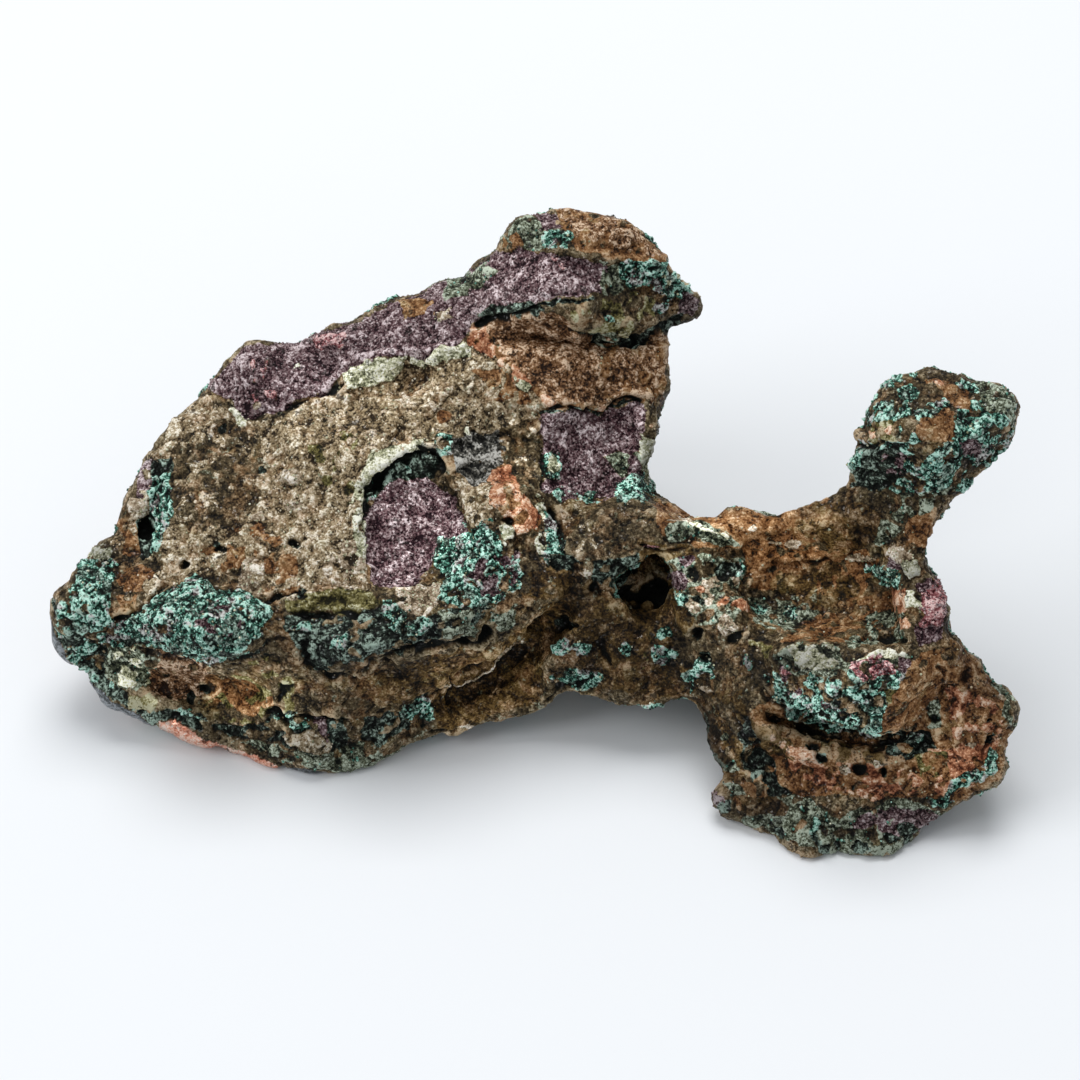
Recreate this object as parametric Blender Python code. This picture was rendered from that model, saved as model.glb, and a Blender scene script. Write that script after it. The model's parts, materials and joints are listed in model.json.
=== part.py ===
# A hand-sized float nugget of native copper, crusted with cuprite, malachite and sandstone.
# One solid: a thick tilted slab with a peak, a short bridge, and a looped lump with a knob and a foot.
# The corner lists below are millimetres in the nugget's own axes: +X to the knob's end,
# +Y to the back, +Z up. SCALE turns them into metres.

import math

import bmesh
import bpy
from mathutils import Matrix, Vector

LENGTH = 0.104                # overall length along X, metres
CORNER_LENGTH = 104.0         # the same length in the corner lists, millimetres
SCALE = LENGTH / CORNER_LENGTH

SKIN_GRAIN = 0.7 * SCALE      # voxel size that fuses the blocks into one skin
CUTTER_GRAIN = 0.8 * SCALE    # voxel size of the hollows' skin
TRIANGLES = 9300              # faces kept on the finished nugget
RESTING_CUT = 0.7 * SCALE     # height at which the three feet are worn flat
FACE_TILT = math.radians(48)  # the broad face looks up and forward at this angle
RECESS_ABOVE = 2.5            # how far a recess cutter stands proud of the surface, mm

# name: (wavelength, height, octaves of detail), lengths in millimetres
ROUGHNESS = {
    "swell": (9.0, 2.2, 1),
    "knobbles": (3.5, 1.3, 2),
}

NUGGET_COLOR = (0.17, 0.10, 0.055, 1.0)
NUGGET_ROUGHNESS = 0.78

# The thick slab on the left: its tilted face, the cuprite rim along the top, and the belly.
SLAB = {
    "slab_west": (
        (-46, 0.5, 18), (-46, 3, 19.5), (-41, 10.5, 24.5), (-37, 14.5, 27), (-33, 19, 28.5),
        (-26.5, 19, 30), (-21.5, 19, 31.5), (-48, -5.5, 14.5), (-42, -10.5, 15),
        (-29, -13, 16.5), (-15, -13, 19), (-13, 0.5, 27), (-15, 9.5, 30), (-37, -12.5, 6),
        (-26, -18.5, 2), (-17.5, -16, 3), (-15.5, -13.5, 7), (-41, 8, 7), (-36, 18, 13),
        (-26, 24, 9), (-16, 24, 22), (-16, 20, 3), (0, 6, 4),
    ),
    "slab_east": (
        (-26.5, 19, 30), (-20, 20, 32), (-13, 22, 34), (-6, 25, 36), (-26, 4.5, 23),
        (-2, 0.5, 27), (-15, -13, 19), (-4.5, -9.5, 20), (-2, -6.5, 22), (-12, -14.5, 8),
        (-26, 24, 9), (-10, 30, 10), (-4, 28, 28), (2, 10, 4), (-20, 8, 3),
    ),
    "rim_west": (
        (-35.5, 14, 27.5), (-34, 17.5, 29.5), (-33, 18.5, 29), (-26.5, 19, 30.5),
        (-22, 19, 31.5), (-22, 13, 30), (-24, 11.5, 29), (-28, 10, 28), (-33.5, 11, 27.5),
        (-30.5, 14, 30),
    ),
    "rim_east": (
        (-23, 18.5, 31.5), (-20, 19, 32.5), (-13, 21.5, 35), (-7, 23.5, 37), (-6.5, 18, 37),
        (-8, 13.5, 35.5), (-12, 13, 34), (-18.5, 13, 32.5), (-22.5, 11.5, 30), (-13, 17, 35),
        (-15.5, 23.5, 27), (-21, 21, 26), (-10, 26, 29), (-10, 16, 25), (-19, 15, 26),
    ),
    "west_tip": (
        (-53.5, -5, 12), (-53, -7, 9), (-50.5, -9, 7), (-49.5, -1, 16), (-48.5, 0.5, 17),
        (-46, 0, 18), (-52.5, -4, 14.5), (-43, -13, 3.5), (-47, -11.5, 5.5), (-41, -8.5, 17.5),
        (-36.5, -12.5, 14), (-35, -16, 3), (-47, 2, 9), (-44, 4, 14), (-36, 6, 5),
    ),
    "heel": (
        (-41.5, -14, 3), (-33.5, -16.5, 1), (-28, -18, 0), (-21.5, -18.5, 0),
        (-17, -16.5, 1.5), (-12, -14.5, 6), (-11, -13, 10), (-15, -13.5, 13.5),
        (-32.5, -13.5, 10.5), (-42.5, -12.5, 7.5), (-38, -2, 3), (-22, -2, 0), (-8, -2, 2),
        (-30, 4, 3),
    ),
    "front_brow": (
        (-15, -14.5, 18), (-10, -14, 10.5), (-5.5, -13.5, 13), (-1.5, -12, 16), (2, -9.5, 19),
        (3.5, -7, 20.5), (-2.5, -7, 22.5), (-13, -11, 20.5), (-17.5, -14.5, 8), (-6, -2, 6),
        (4, 2, 14),
    ),
    "face_upper": (
        (-7, 17, 35.5), (2, 13.5, 36), (14, 18, 31.5), (14.5, 13.5, 28.5), (13, 10.5, 27),
        (2, 5.5, 28), (-15, 9, 30.5), (12, 18, 28), (10, 16, 14), (2, 24, 8), (-10, 22, 8),
        (-8, 4, 14),
    ),
    "face_lower": (
        (2, 9.5, 30), (13, 9.5, 27), (12.5, 9, 26), (12.5, 5, 22.5), (12, 4, 21), (2, 0, 21.5),
        (-4.5, -6.5, 22), (-17.5, 1, 26.5), (-16.5, 9, 30.5), (10, 14, 14), (11, 9, 9),
        (6, 20, 5), (-12, 20, 6), (-10, 0, 6),
    ),
    "back_foot": (
        (-30, 20, 2), (-18, 17, 0), (-6, 18, 0), (6, 22, 3), (9, 27, 12), (6, 30, 20),
        (-4, 8, 3), (-24, 12, 8), (-26, 25, 14), (-10, 31, 16), (0, 29, 30),
    ),
}

# The peak over the slab: a rounded dome, an overhanging brow and a beak on the east side.
PEAK = {
    "dome": (
        (-6, 23.5, 37.5), (-4, 23.5, 41.5), (-2, 24, 43.5), (0.5, 24.5, 44.5), (4.5, 25, 44.5),
        (8.5, 24, 43.5), (12, 23, 42), (13.5, 21.5, 40.5), (12.5, 20.5, 40), (6.5, 19, 42),
        (1.5, 18.5, 43), (-3.5, 20, 40.5), (2, 20.5, 44.5), (8.5, 20.5, 43.5), (0, 29, 36),
        (12, 27, 34), (-3, 28, 30), (13, 22, 28),
    ),
    "brow": (
        (-6.5, 23, 37.5), (-3.5, 20, 41), (2, 18.5, 42.5), (6.5, 19, 41.5), (7.5, 17, 40),
        (4.5, 14, 39.5), (1, 13, 38.5), (-3, 13.5, 38), (-6.5, 15.5, 37), (0, 15, 41.5),
        (-2, 22, 30), (8, 18, 30),
    ),
    "root": (
        (-13, 21.5, 33.5), (-6, 24, 36.5), (-2, 23, 38), (2, 18, 37), (-6.5, 15.5, 35),
        (-13, 16.5, 31.5), (-10, 24, 20), (0, 24, 20), (4, 14, 20), (-8, 10, 22),
    ),
    "east_brow": (
        (6.5, 19.5, 41.5), (13, 21, 40), (16.5, 20.5, 36.5), (14.5, 19, 33), (12.5, 17.5, 33),
        (8, 14.5, 34.5), (4.5, 14, 36), (4, 15, 37), (7.5, 17.5, 38.5), (12, 18.5, 38),
        (4, 18, 30), (13, 18, 27),
    ),
    "beak": (
        (13, 22, 39), (16, 21.5, 37.5), (18, 22, 35), (18, 20.5, 33.5), (17, 20.5, 31),
        (15, 20, 31.5), (12, 19, 33), (12, 19.5, 37), (14, 17, 33), (12, 23, 33),
    ),
}

# The middle: a bridge above, the body under it, and the low shelf behind the slab's front edge.
MIDDLE = {
    "corner": (
        (-2.5, -3.5, 23.5), (4, -3, 23), (4, -5.5, 18.5), (-1, -8.5, 19), (-4, 2, 10),
        (6, 4, 14), (4, 8, 10),
    ),
    "low_shelf": (
        (-16, -15.5, 2), (-11, -15.5, 2), (-7, -14.5, 2.5), (-2, -14, 4), (1.5, -13, 6),
        (-12, -13.5, 6.5), (-10, -10.5, 6), (-1, -9, 9.5), (4, -5.5, 13), (-12, 6, 3),
        (0, 8, 5), (2, -2, 13),
    ),
    "body_west": (
        (1, -11, 14), (0, -12, 10.5), (1.5, -13.5, 7), (3.5, -13, 8), (6.5, -13.5, 7.5),
        (7, -11.5, 13), (3, -8, 17), (-2, 8, 6), (6, 6, 6), (4, 4, 15),
    ),
    "body_east": (
        (7, -12, 12.5), (6.5, -13.5, 7), (9, -15, 6.5), (11.5, -15, 6.5), (14.5, -14.5, 7),
        (16.5, -15, 8), (16, -11.5, 13), (12.5, -6.5, 15.5), (6.5, -7.5, 16.5), (0, 8, 6),
        (16, 6, 6), (18, 4, 14), (4, 8, 15),
    ),
    "body_knuckle": (
        (2, -7.5, 18), (6.5, -6, 18), (10.5, -7, 17.5), (11, -9.5, 15.5), (6.5, -11.5, 14.5),
        (2, -11, 15.5), (6.5, -9.5, 17.5), (4, 2, 12), (12, 2, 10),
    ),
    "bridge": (
        (1.5, -7, 22), (4, -3.5, 23.5), (7.5, -0.5, 25), (11.5, -0.5, 25), (14, -1.5, 25.5),
        (17, -2.5, 25), (22, -4, 22.5), (17.5, -4, 21.5), (11.5, -4, 20), (7.5, -6, 19),
        (4, -7, 19), (4, 8, 16), (18, 6, 14), (12, 10, 20),
    ),
    "cave_back": (
        (4, 4.5, 17), (18, 4.5, 17), (4, 7, 11), (18, 7, 11), (4, 5, 6), (18, 5, 6), (4, 1, 7),
        (18, 1, 7),
    ),
}

# The right-hand lump: a saddle rim, a bowl in front of it, a lip, a skirt and the foot.
LOOP = {
    "saddle_west": (
        (13.5, -1.5, 25.5), (16, -2.5, 25), (19.5, -2.5, 25.5), (23, -2.5, 26),
        (24.5, -4.5, 24.5), (17.5, -4, 21.5), (24, -4, 19), (16, 5, 10), (26, 3, 19),
        (24, 7, 10), (14, 3, 18),
    ),
    "saddle_east": (
        (22.5, -3, 26), (27, -2.5, 25.5), (30, -2.5, 26.5), (32, -2, 28), (36.5, -5.5, 27.5),
        (24, -3.5, 20.5), (31.5, -5.5, 19), (36.5, -7, 21), (24, 5, 10), (40, 6, 10),
        (38, 4, 20), (28, 2, 19),
    ),
    "bowl_slope": (
        (16, -3.5, 21), (24, -4, 20), (31.5, -5, 19), (37, -6.5, 21), (37.5, -9, 18.5),
        (28, -8.5, 15.5), (17.5, -6.5, 15.5), (16, 2, 6), (38, 4, 6), (20, -4, 6), (38, -4, 6),
    ),
    "bowl_floor": (
        (16.5, -9, 15), (21.5, -12.5, 16), (27, -14.5, 16.5), (38.5, -15, 18),
        (36.5, -8.5, 18), (24, -5.5, 16), (17.5, -5.5, 16), (14, 2, 6), (18, 10, 3),
        (30, 11, 2), (42, 8, 2), (44, 0, 4), (20, -10, 4), (40, -14, 3),
    ),
    "heart": (
        (17, -4, 4), (17, 7, 5), (42, 6, 4), (47, -6, 6), (47, -16, 6), (28, -23, 3),
        (22, -12, 4), (19, -4, 14), (19, 4, 15.5), (30, 3, 16.5), (40, 3, 17), (44, -8, 15),
        (28, -15, 13.5), (44, -15, 14),
    ),
    "west_rim": (
        (13, -5.5, 21.5), (16, -5, 22), (21.5, -5, 20), (22.5, -9, 18.5), (22.5, -14, 18),
        (17.5, -12.5, 14), (15.5, -11.5, 15), (13.5, -8.5, 18), (16, 0, 9), (24, -4, 8),
    ),
    "west_flank": (
        (16, -12, 13.5), (16.5, -15, 9), (18.5, -18.5, 7), (20, -22, 4.5), (23.5, -22.5, 10),
        (28, -19, 13.5), (22, -13.5, 17), (28, -14, 17.5), (16, -4, 6), (22, -2, 4),
        (30, -16, 4),
    ),
    "east_ridge": (
        (41, -10, 27), (43, -13, 24), (44, -15.5, 21.5), (45, -16, 19.5), (39, -10, 26),
        (38, -13, 23), (38.5, -17.5, 21.5), (41, -21, 17.5), (43.5, -19.5, 16), (44, -2, 10),
        (39, 5, 12), (39, 3, 20), (42, 0, 15),
    ),
    "ridge_foot": (
        (35.5, -7, 24), (39, -8, 25.5), (40, -11, 22.5), (36.5, -9, 18.5), (36, 4, 14),
        (41, 4, 14), (41, -2, 12),
    ),
    "shoulder": (
        (45, -16, 19.5), (47.5, -17.5, 17.5), (49.5, -18.5, 15), (50.5, -20, 12.5),
        (50.5, -22, 11.5), (50, -24.5, 9), (43.5, -20, 15), (42.5, -24.5, 10), (41, -19, 15),
        (46, -4, 5), (48, -10, 8), (42, 3, 6),
    ),
    "lip": (
        (24.5, -16.5, 17.5), (26, -16.5, 19.5), (31, -16.5, 20), (39.5, -18, 21),
        (40.5, -19.5, 20.5), (41, -21, 17), (39, -23, 13.5), (36.5, -23.5, 12.5),
        (31, -22.5, 13), (27, -20.5, 14), (25, -18.5, 16), (31.5, -22.5, 19.5),
        (37.5, -22.5, 19.5), (40, -8, 10), (26, -8, 10),
    ),
    "lip_root": (
        (25, -16.5, 12), (40, -18.5, 13), (39, -20.5, 9), (31, -20, 8.5), (26, -19.5, 9.5),
        (26, -21.5, 7.5), (39, -22, 8), (24, -2, 8), (42, -2, 8), (30, -14, 4),
    ),
    "lip_side": (
        (39, -19.5, 14), (41.5, -19.5, 15.5), (43, -22.5, 12.5), (39, -22.5, 10.5),
        (40, -4, 8), (44, -8, 8),
    ),
    "skirt": (
        (21.5, -20, 7), (23.5, -20, 9), (28, -21, 9.5), (38.5, -22.5, 10), (44, -22.5, 9.5),
        (50, -24.5, 9), (48, -25.5, 6.5), (45.5, -26.5, 4), (38.5, -26.5, 6),
        (33, -26.5, 5.5), (28, -25, 5), (23.5, -24, 4.5), (22.5, -25, 1), (45.5, -26, 2),
        (46, -10, 2), (24, -8, 2), (42, -2, 3),
    ),
    "foot": (
        (27.5, -27.5, 0.5), (32, -29, 0), (35.5, -29.5, 0), (41, -28.5, 1), (45.5, -26.5, 3),
        (47.5, -25.5, 6.5), (38.5, -27, 7), (33, -27.5, 6.5), (28, -27, 5.5),
        (24.5, -26.5, 3.5), (22, -25, 1), (26, -16, 0), (42, -14, 0), (47, -14, 3),
    ),
    "toe": (
        (18.5, -24, 3.5), (18.5, -24.5, 2.5), (20.5, -25, 1), (23, -25, 1), (25.5, -25, 5),
        (20, -22.5, 5), (22, -22.5, 6.5), (24, -20, 3),
    ),
}

# The knob that stands on the lump's back corner, on a short slanting arm.
KNOB = {
    "arm": (
        (33, -1.5, 28.5), (34.5, -1.5, 29.5), (42.5, -6.5, 29.5), (41, -9, 27),
        (41.5, -10.5, 26.5), (37.5, -9.5, 23), (33.5, -4, 25.5), (38.5, -3, 31), (36, 4, 22),
        (43, 4, 24), (42, 6, 28),
    ),
    "knob": (
        (33, -1.5, 29), (33, 0, 31), (33.5, 1, 33), (34.5, 2.5, 34.5), (35.5, 4, 36.5),
        (37, 4.5, 38.5), (41.5, 4.5, 40), (44.5, 4, 39.5), (46, 3.5, 39), (45.5, -3.5, 33),
        (43, -5.5, 29.5), (38.5, -3.5, 30), (36.5, -4.5, 38.5), (39.5, -4.5, 40), (43, -5, 39),
        (36, 6, 31), (43, 9, 33), (47, 6, 31),
    ),
    "spur": (
        (32.5, 1, 33.5), (33, 1.5, 34), (34.5, 2, 35), (35, -2, 35), (33, 0, 32.5), (36, 2, 32),
    ),
    "end_lobe": (
        (45.5, 4, 38.5), (46.5, 3.5, 39.5), (49, 3.5, 39.5), (51, 3, 38.5), (51.5, 2, 37),
        (51, 0, 34), (49.5, -1.5, 32), (46.5, -3, 30.5), (44, -4.5, 29.5), (45.5, -3.5, 39),
        (48.5, -2, 39), (49, 5, 33), (44, 6, 28),
    ),
}

# The bulging malachite crust along the slab's front edge.
CRUST = {
    "crust_west": (
        (-52, -5.5, 14.5), (-50.5, -3, 16), (-47.5, -3.5, 17), (-46.5, -6.5, 16),
        (-47, -9.5, 13.5), (-50, -9, 12), (-52, -7.5, 12), (-49, -8.5, 17.5), (-44, -4, 12),
    ),
    "crust_middle": (
        (-42.5, -9.5, 17.5), (-38.5, -7.5, 19), (-34, -8, 19.5), (-29.5, -10, 19.5),
        (-28.5, -13, 18), (-30.5, -15, 15.5), (-35, -15.5, 15), (-39.5, -14, 14.5),
        (-42, -12, 15.5), (-37.5, -13.5, 19), (-32.5, -14.5, 19), (-36, -4, 12),
    ),
    "crust_east": (
        (-26, -12.5, 18), (-22.5, -11.5, 19), (-13, -12, 21), (-7.5, -11, 21.5),
        (-3.5, -11.5, 20.5), (-7.5, -14.5, 18), (-13, -15.5, 16), (-20.5, -16, 14.5),
        (-24.5, -15, 15), (-19, -15.5, 18.5), (-10.5, -15, 20), (-14, -4, 12),
    ),
}

# Rounded bosses on the back and the belly, as centre and half-sizes.
BOSSES = {
    "back_west": ((-24, 21, 14), (8, 6, 7)),
    "back_middle": ((-8, 28, 18), (7, 5, 8)),
    "back_low": ((1, 24, 8), (7, 5, 5)),
    "back_peak": ((4, 26, 33), (6, 4.5, 6)),
    "belly_west": ((-35, 0, 6.5), (9, 8, 4.5)),
    "loop_back": ((30, 6, 8), (8, 4.5, 5)),
    "loop_corner": ((41.5, -3, 6), (5, 5, 4)),
}

# Rounded hollows, as centre and half-sizes.
HOLLOWS = {
    "cave_mouth": ((12, -7.5, 18.5), (2.5, 3.5, 4.5)),
    "cave_floor": ((11, -6, 16.5), (3, 3, 3)),
    "bowl": ((28, -10.5, 21.5), (9.5, 6, 4)),
    "belly": ((-10, 4, -2), (14, 9, 5.5)),
    "arch": ((9, -2, -0.5), (9.5, 26, 8)),
    "back_neck": ((20, 13, 14), (6, 4, 9)),
    "loop_under": ((32, -5, -2), (9, 7, 4.5)),
    "skirt_valley": ((44, -23, 15), (1.5, 4, 2.5)),
    "flank_groove": ((23, -24, 7.5), (1.5, 4, 2)),
    "back_notch": ((-15, 27, 6), (4, 4, 4)),
    "back_hollow": ((-17, 27, 25), (5, 3.5, 5)),
}

# Steep-sided recesses sunk square into the broad face: depth, then the outline on the surface.
RECESSES = {
    "cuprite_window": (2.0, (
        (-19, -0.5, 25), (-16.5, 3, 27.5), (-14, 4, 28), (-11, 2.5, 27), (-9, 0, 25.5),
        (-7.5, -4, 24), (-8.5, -7, 22.5), (-10.5, -8.5, 21.5), (-12.5, -10, 21),
        (-15.5, -9.5, 21), (-18, -9, 21), (-19, -5.5, 22.5),
    )),
    "east_window": (1.7, (
        (0.5, 6, 28.5), (2, 7.5, 30), (6.5, 8.5, 28.5), (10, 10.5, 29), (11, 9.5, 27.5),
        (11, 5.5, 24), (9, 2.5, 23.5), (6.5, 1, 23), (2, 0, 24.5), (0.5, 2.5, 26.5),
    )),
    "grey_patch": (1.0, (
        (-9.5, 5.5, 28.5), (-4.5, 6.5, 29), (-1, 5.5, 28), (-0.5, 1.5, 26), (-4.5, -0.5, 26),
        (-7.5, 1, 26),
    )),
    "crust_shadow": (2.2, (
        (-44.5, -11, 9.5), (-39.5, -12.5, 10), (-34, -14, 10.5), (-29.5, -15, 10.5),
        (-30.5, -15.5, 8.5), (-35.5, -14.5, 7), (-41.5, -13, 6.5), (-45, -11.5, 7.5),
    )),
    "west_pocket": (1.5, (
        (-42, 6, 22), (-41.5, 7, 23), (-40, 5, 22.5), (-40.5, 1, 20.5), (-42, -2.5, 18.5),
        (-44, -1, 18.5), (-44, 2, 19.5),
    )),
    "front_undercut": (1.8, (
        (-11.5, -13.5, 7), (-10, -12.5, 7.5), (-5.5, -11, 8.5), (-1, -9, 10), (3.5, -7.5, 18),
        (4.5, -9.5, 17), (1, -11.5, 12), (-4.5, -12.5, 7), (-9, -14, 5),
    )),
    "lip_undercut": (2.4, (
        (24, -19.5, 12.5), (27.5, -19, 10.5), (31.5, -21, 9.5), (37, -22, 9.5),
        (39.5, -22, 11), (39, -23, 9.5), (34, -23, 9), (28, -21.5, 9), (24, -21, 11),
    )),
    "brow_undercut": (0.8, (
        (-6, 15.5, 35), (1, 13.5, 35.5), (6.5, 14, 34), (12.5, 17, 32), (14, 17.5, 33),
        (13.5, 17, 31), (7.5, 13.5, 32.5), (0.5, 12.5, 34.5), (-6, 14, 34.5),
    )),
    "bowl_step": (1.0, (
        (23.5, -7.5, 17), (28, -9, 17), (33.5, -10, 17.5), (37.5, -9.5, 18), (38, -12, 18),
        (33, -13, 17.5), (27, -12.5, 16.5), (23.5, -10, 17),
    )),
}


def clearScene():
    for obj in list(bpy.data.objects):
        bpy.data.objects.remove(obj)


def addHull(bm, corners):
    # The smallest convex block around the corners.
    shell = bmesh.new()
    for corner in corners:
        shell.verts.new(Vector(corner) * SCALE)
    made = bmesh.ops.convex_hull(shell, input=shell.verts)
    spare = set(made["geom_interior"] + made["geom_unused"])
    spare = [item for item in spare if isinstance(item, bmesh.types.BMVert)]
    bmesh.ops.delete(shell, geom=spare, context="VERTS")
    mesh = bpy.data.meshes.new("hull")
    shell.to_mesh(mesh)
    shell.free()
    bm.from_mesh(mesh)
    bpy.data.meshes.remove(mesh)


def addEllipsoid(bm, centre, halfSizes):
    place = Matrix.Translation(Vector(centre) * SCALE)
    stretch = Matrix.Diagonal([size * SCALE for size in halfSizes] + [1.0])
    bmesh.ops.create_icosphere(bm, subdivisions=3, radius=1.0, matrix=place @ stretch)


def addRecess(bm, depth, outline):
    # A prism through the outline, square to the broad face.
    outward = Vector((0.0, -math.cos(FACE_TILT), math.sin(FACE_TILT)))
    outer = [Vector(point) + outward * RECESS_ABOVE for point in outline]
    inner = [Vector(point) - outward * depth for point in outline]
    addHull(bm, outer + inner)


def makeObject(name, bm):
    mesh = bpy.data.meshes.new(name)
    bm.to_mesh(mesh)
    bm.free()
    obj = bpy.data.objects.new(name, mesh)
    bpy.context.collection.objects.link(obj)
    return obj


def addSkin(obj, grain):
    skin = obj.modifiers.new("skin", "REMESH")
    skin.mode = "VOXEL"
    skin.voxel_size = grain


def makeBlocks():
    bm = bmesh.new()
    for group in (SLAB, PEAK, MIDDLE, LOOP, KNOB, CRUST):
        for corners in group.values():
            addHull(bm, corners)
    for centre, halfSizes in BOSSES.values():
        addEllipsoid(bm, centre, halfSizes)
    return makeObject("blocks", bm)


def makeHollows():
    bm = bmesh.new()
    for centre, halfSizes in HOLLOWS.values():
        addEllipsoid(bm, centre, halfSizes)
    for depth, outline in RECESSES.values():
        addRecess(bm, depth, outline)
    hollows = makeObject("hollows", bm)
    hollows.hide_render = True
    hollows.display_type = "WIRE"
    addSkin(hollows, CUTTER_GRAIN)
    return hollows


def carve(obj, cutter):
    cut = obj.modifiers.new("hollows", "BOOLEAN")
    cut.operation = "DIFFERENCE"
    cut.solver = "EXACT"
    cut.object = cutter


def weather(obj):
    soften = obj.modifiers.new("worn_edges", "SMOOTH")
    soften.factor = 0.5
    soften.iterations = 4
    for name, (wavelength, height, octaves) in ROUGHNESS.items():
        pattern = bpy.data.textures.new(name, "CLOUDS")
        pattern.noise_scale = wavelength * SCALE
        pattern.noise_depth = octaves
        push = obj.modifiers.new(name, "DISPLACE")
        push.texture = pattern
        push.texture_coords = "LOCAL"
        push.strength = height * SCALE
        push.mid_level = 0.5


def evaluatedMesh(obj):
    graph = bpy.context.evaluated_depsgraph_get()
    return bpy.data.meshes.new_from_object(obj.evaluated_get(graph))


def thinOut(obj, count):
    mesh = evaluatedMesh(obj)
    mesh.calc_loop_triangles()
    present = len(mesh.loop_triangles)
    bpy.data.meshes.remove(mesh)
    thin = obj.modifiers.new("facets", "DECIMATE")
    thin.ratio = count / present
    thin.use_collapse_triangulate = True


def standFlat(bm):
    # The feet are worn to one plane, which becomes z = 0 under the middle of the outline.
    cut = bmesh.ops.bisect_plane(
        bm,
        geom=bm.verts[:] + bm.edges[:] + bm.faces[:],
        plane_co=(0.0, 0.0, RESTING_CUT),
        plane_no=(0.0, 0.0, 1.0),
        clear_inner=True,
    )
    rim = [item for item in cut["geom_cut"] if isinstance(item, bmesh.types.BMEdge)]
    bmesh.ops.holes_fill(bm, edges=rim, sides=0)
    bmesh.ops.triangulate(bm, faces=[face for face in bm.faces if len(face.verts) > 3])
    low = [min(vert.co[axis] for vert in bm.verts) for axis in range(3)]
    high = [max(vert.co[axis] for vert in bm.verts) for axis in range(3)]
    middle = Vector(((low[0] + high[0]) / 2, (low[1] + high[1]) / 2, low[2]))
    bmesh.ops.translate(bm, verts=bm.verts, vec=-middle)
    print("moved to the middle by", [round(value * 1000, 3) for value in -middle])


def nuggetMaterial():
    material = bpy.data.materials.new("nugget_crust")
    material.use_nodes = True
    shader = material.node_tree.nodes["Principled BSDF"]
    shader.inputs["Base Color"].default_value = NUGGET_COLOR
    shader.inputs["Roughness"].default_value = NUGGET_ROUGHNESS
    shader.inputs["Metallic"].default_value = 0.0
    return material


def makeNugget():
    blocks = makeBlocks()
    hollows = makeHollows()
    addSkin(blocks, SKIN_GRAIN)
    carve(blocks, hollows)
    addSkin(blocks, SKIN_GRAIN)
    weather(blocks)
    thinOut(blocks, TRIANGLES)
    bm = bmesh.new()
    bm.from_mesh(evaluatedMesh(blocks))
    standFlat(bm)
    nugget = makeObject("copper_nugget", bm)
    nugget.data.materials.append(nuggetMaterial())
    bpy.data.objects.remove(blocks)
    bpy.data.objects.remove(hollows)
    return nugget


clearScene()
makeNugget()
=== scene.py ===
import json
import math

import bpy
import numpy as np
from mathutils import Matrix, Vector, noise
from mathutils.bvhtree import BVHTree
from mathutils.kdtree import KDTree

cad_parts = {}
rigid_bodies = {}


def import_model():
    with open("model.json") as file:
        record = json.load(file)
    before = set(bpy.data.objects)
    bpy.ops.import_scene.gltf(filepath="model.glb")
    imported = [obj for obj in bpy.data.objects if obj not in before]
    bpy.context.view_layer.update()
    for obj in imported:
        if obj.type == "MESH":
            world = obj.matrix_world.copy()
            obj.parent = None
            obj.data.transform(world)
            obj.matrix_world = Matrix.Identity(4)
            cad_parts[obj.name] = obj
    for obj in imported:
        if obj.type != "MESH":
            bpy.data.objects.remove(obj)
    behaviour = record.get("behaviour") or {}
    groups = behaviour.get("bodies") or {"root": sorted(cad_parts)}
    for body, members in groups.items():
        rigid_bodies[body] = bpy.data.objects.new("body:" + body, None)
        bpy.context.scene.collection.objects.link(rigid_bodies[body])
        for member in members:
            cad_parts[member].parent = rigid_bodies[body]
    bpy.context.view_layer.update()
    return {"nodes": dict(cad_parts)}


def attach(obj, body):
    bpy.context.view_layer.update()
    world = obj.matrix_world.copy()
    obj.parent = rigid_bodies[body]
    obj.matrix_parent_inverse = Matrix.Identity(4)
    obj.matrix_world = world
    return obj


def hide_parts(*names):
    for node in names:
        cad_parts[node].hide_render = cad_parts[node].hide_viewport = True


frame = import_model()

mm = 0.001

# ---- camera: pixel places below are in its square picture, 1080 across

view = {
    "elevation": 48.0,
    "distance": 0.450,
    "widthThere": 0.118,
    "target": (0.000943, -0.00194, 0.0173),
    "pixels": 1080.0,
    "sensor": 36.0,
}


def viewAxes():
    tilt = math.radians(view["elevation"])
    forward = np.array((0.0, math.cos(tilt), -math.sin(tilt)))
    rise = np.array((0.0, math.sin(tilt), math.cos(tilt)))
    eye = np.array(view["target"]) - view["distance"] * forward
    return eye, forward, rise


def toPixels(points):
    eye, forward, rise = viewAxes()
    away = points - eye
    depth = away @ forward
    zoom = view["pixels"] * view["distance"] / view["widthThere"]
    across = view["pixels"] / 2 + zoom * away[:, 0] / depth
    down = view["pixels"] / 2 - zoom * (away @ rise) / depth
    return np.stack((across, down), 1)


def clearStartup():
    for name in ("Cube", "Light", "Camera"):
        if name in bpy.data.objects:
            bpy.data.objects.remove(bpy.data.objects[name])


def addCamera():
    eye, _, _ = viewAxes()
    bpy.ops.object.select_all(action="DESELECT")
    tilt = math.radians(90.0 - view["elevation"])
    bpy.ops.object.camera_add(location=tuple(eye), rotation=(tilt, 0.0, 0.0))
    camera = bpy.context.active_object
    camera.name = "studioCamera"
    camera.data.sensor_width = view["sensor"]
    camera.data.lens = view["sensor"] * view["distance"] / view["widthThere"]
    camera.data.clip_start = 0.01
    bpy.context.scene.camera = camera


# ---- mesh helpers


def selectOnly(piece):
    bpy.ops.object.select_all(action="DESELECT")
    piece.select_set(True)
    bpy.context.view_layer.objects.active = piece


def applyModifier(piece, kind, **settings):
    selectOnly(piece)
    modifier = piece.modifiers.new(kind.lower(), kind)
    for name, value in settings.items():
        setattr(modifier, name, value)
    bpy.ops.object.modifier_apply(modifier=modifier.name)


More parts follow.
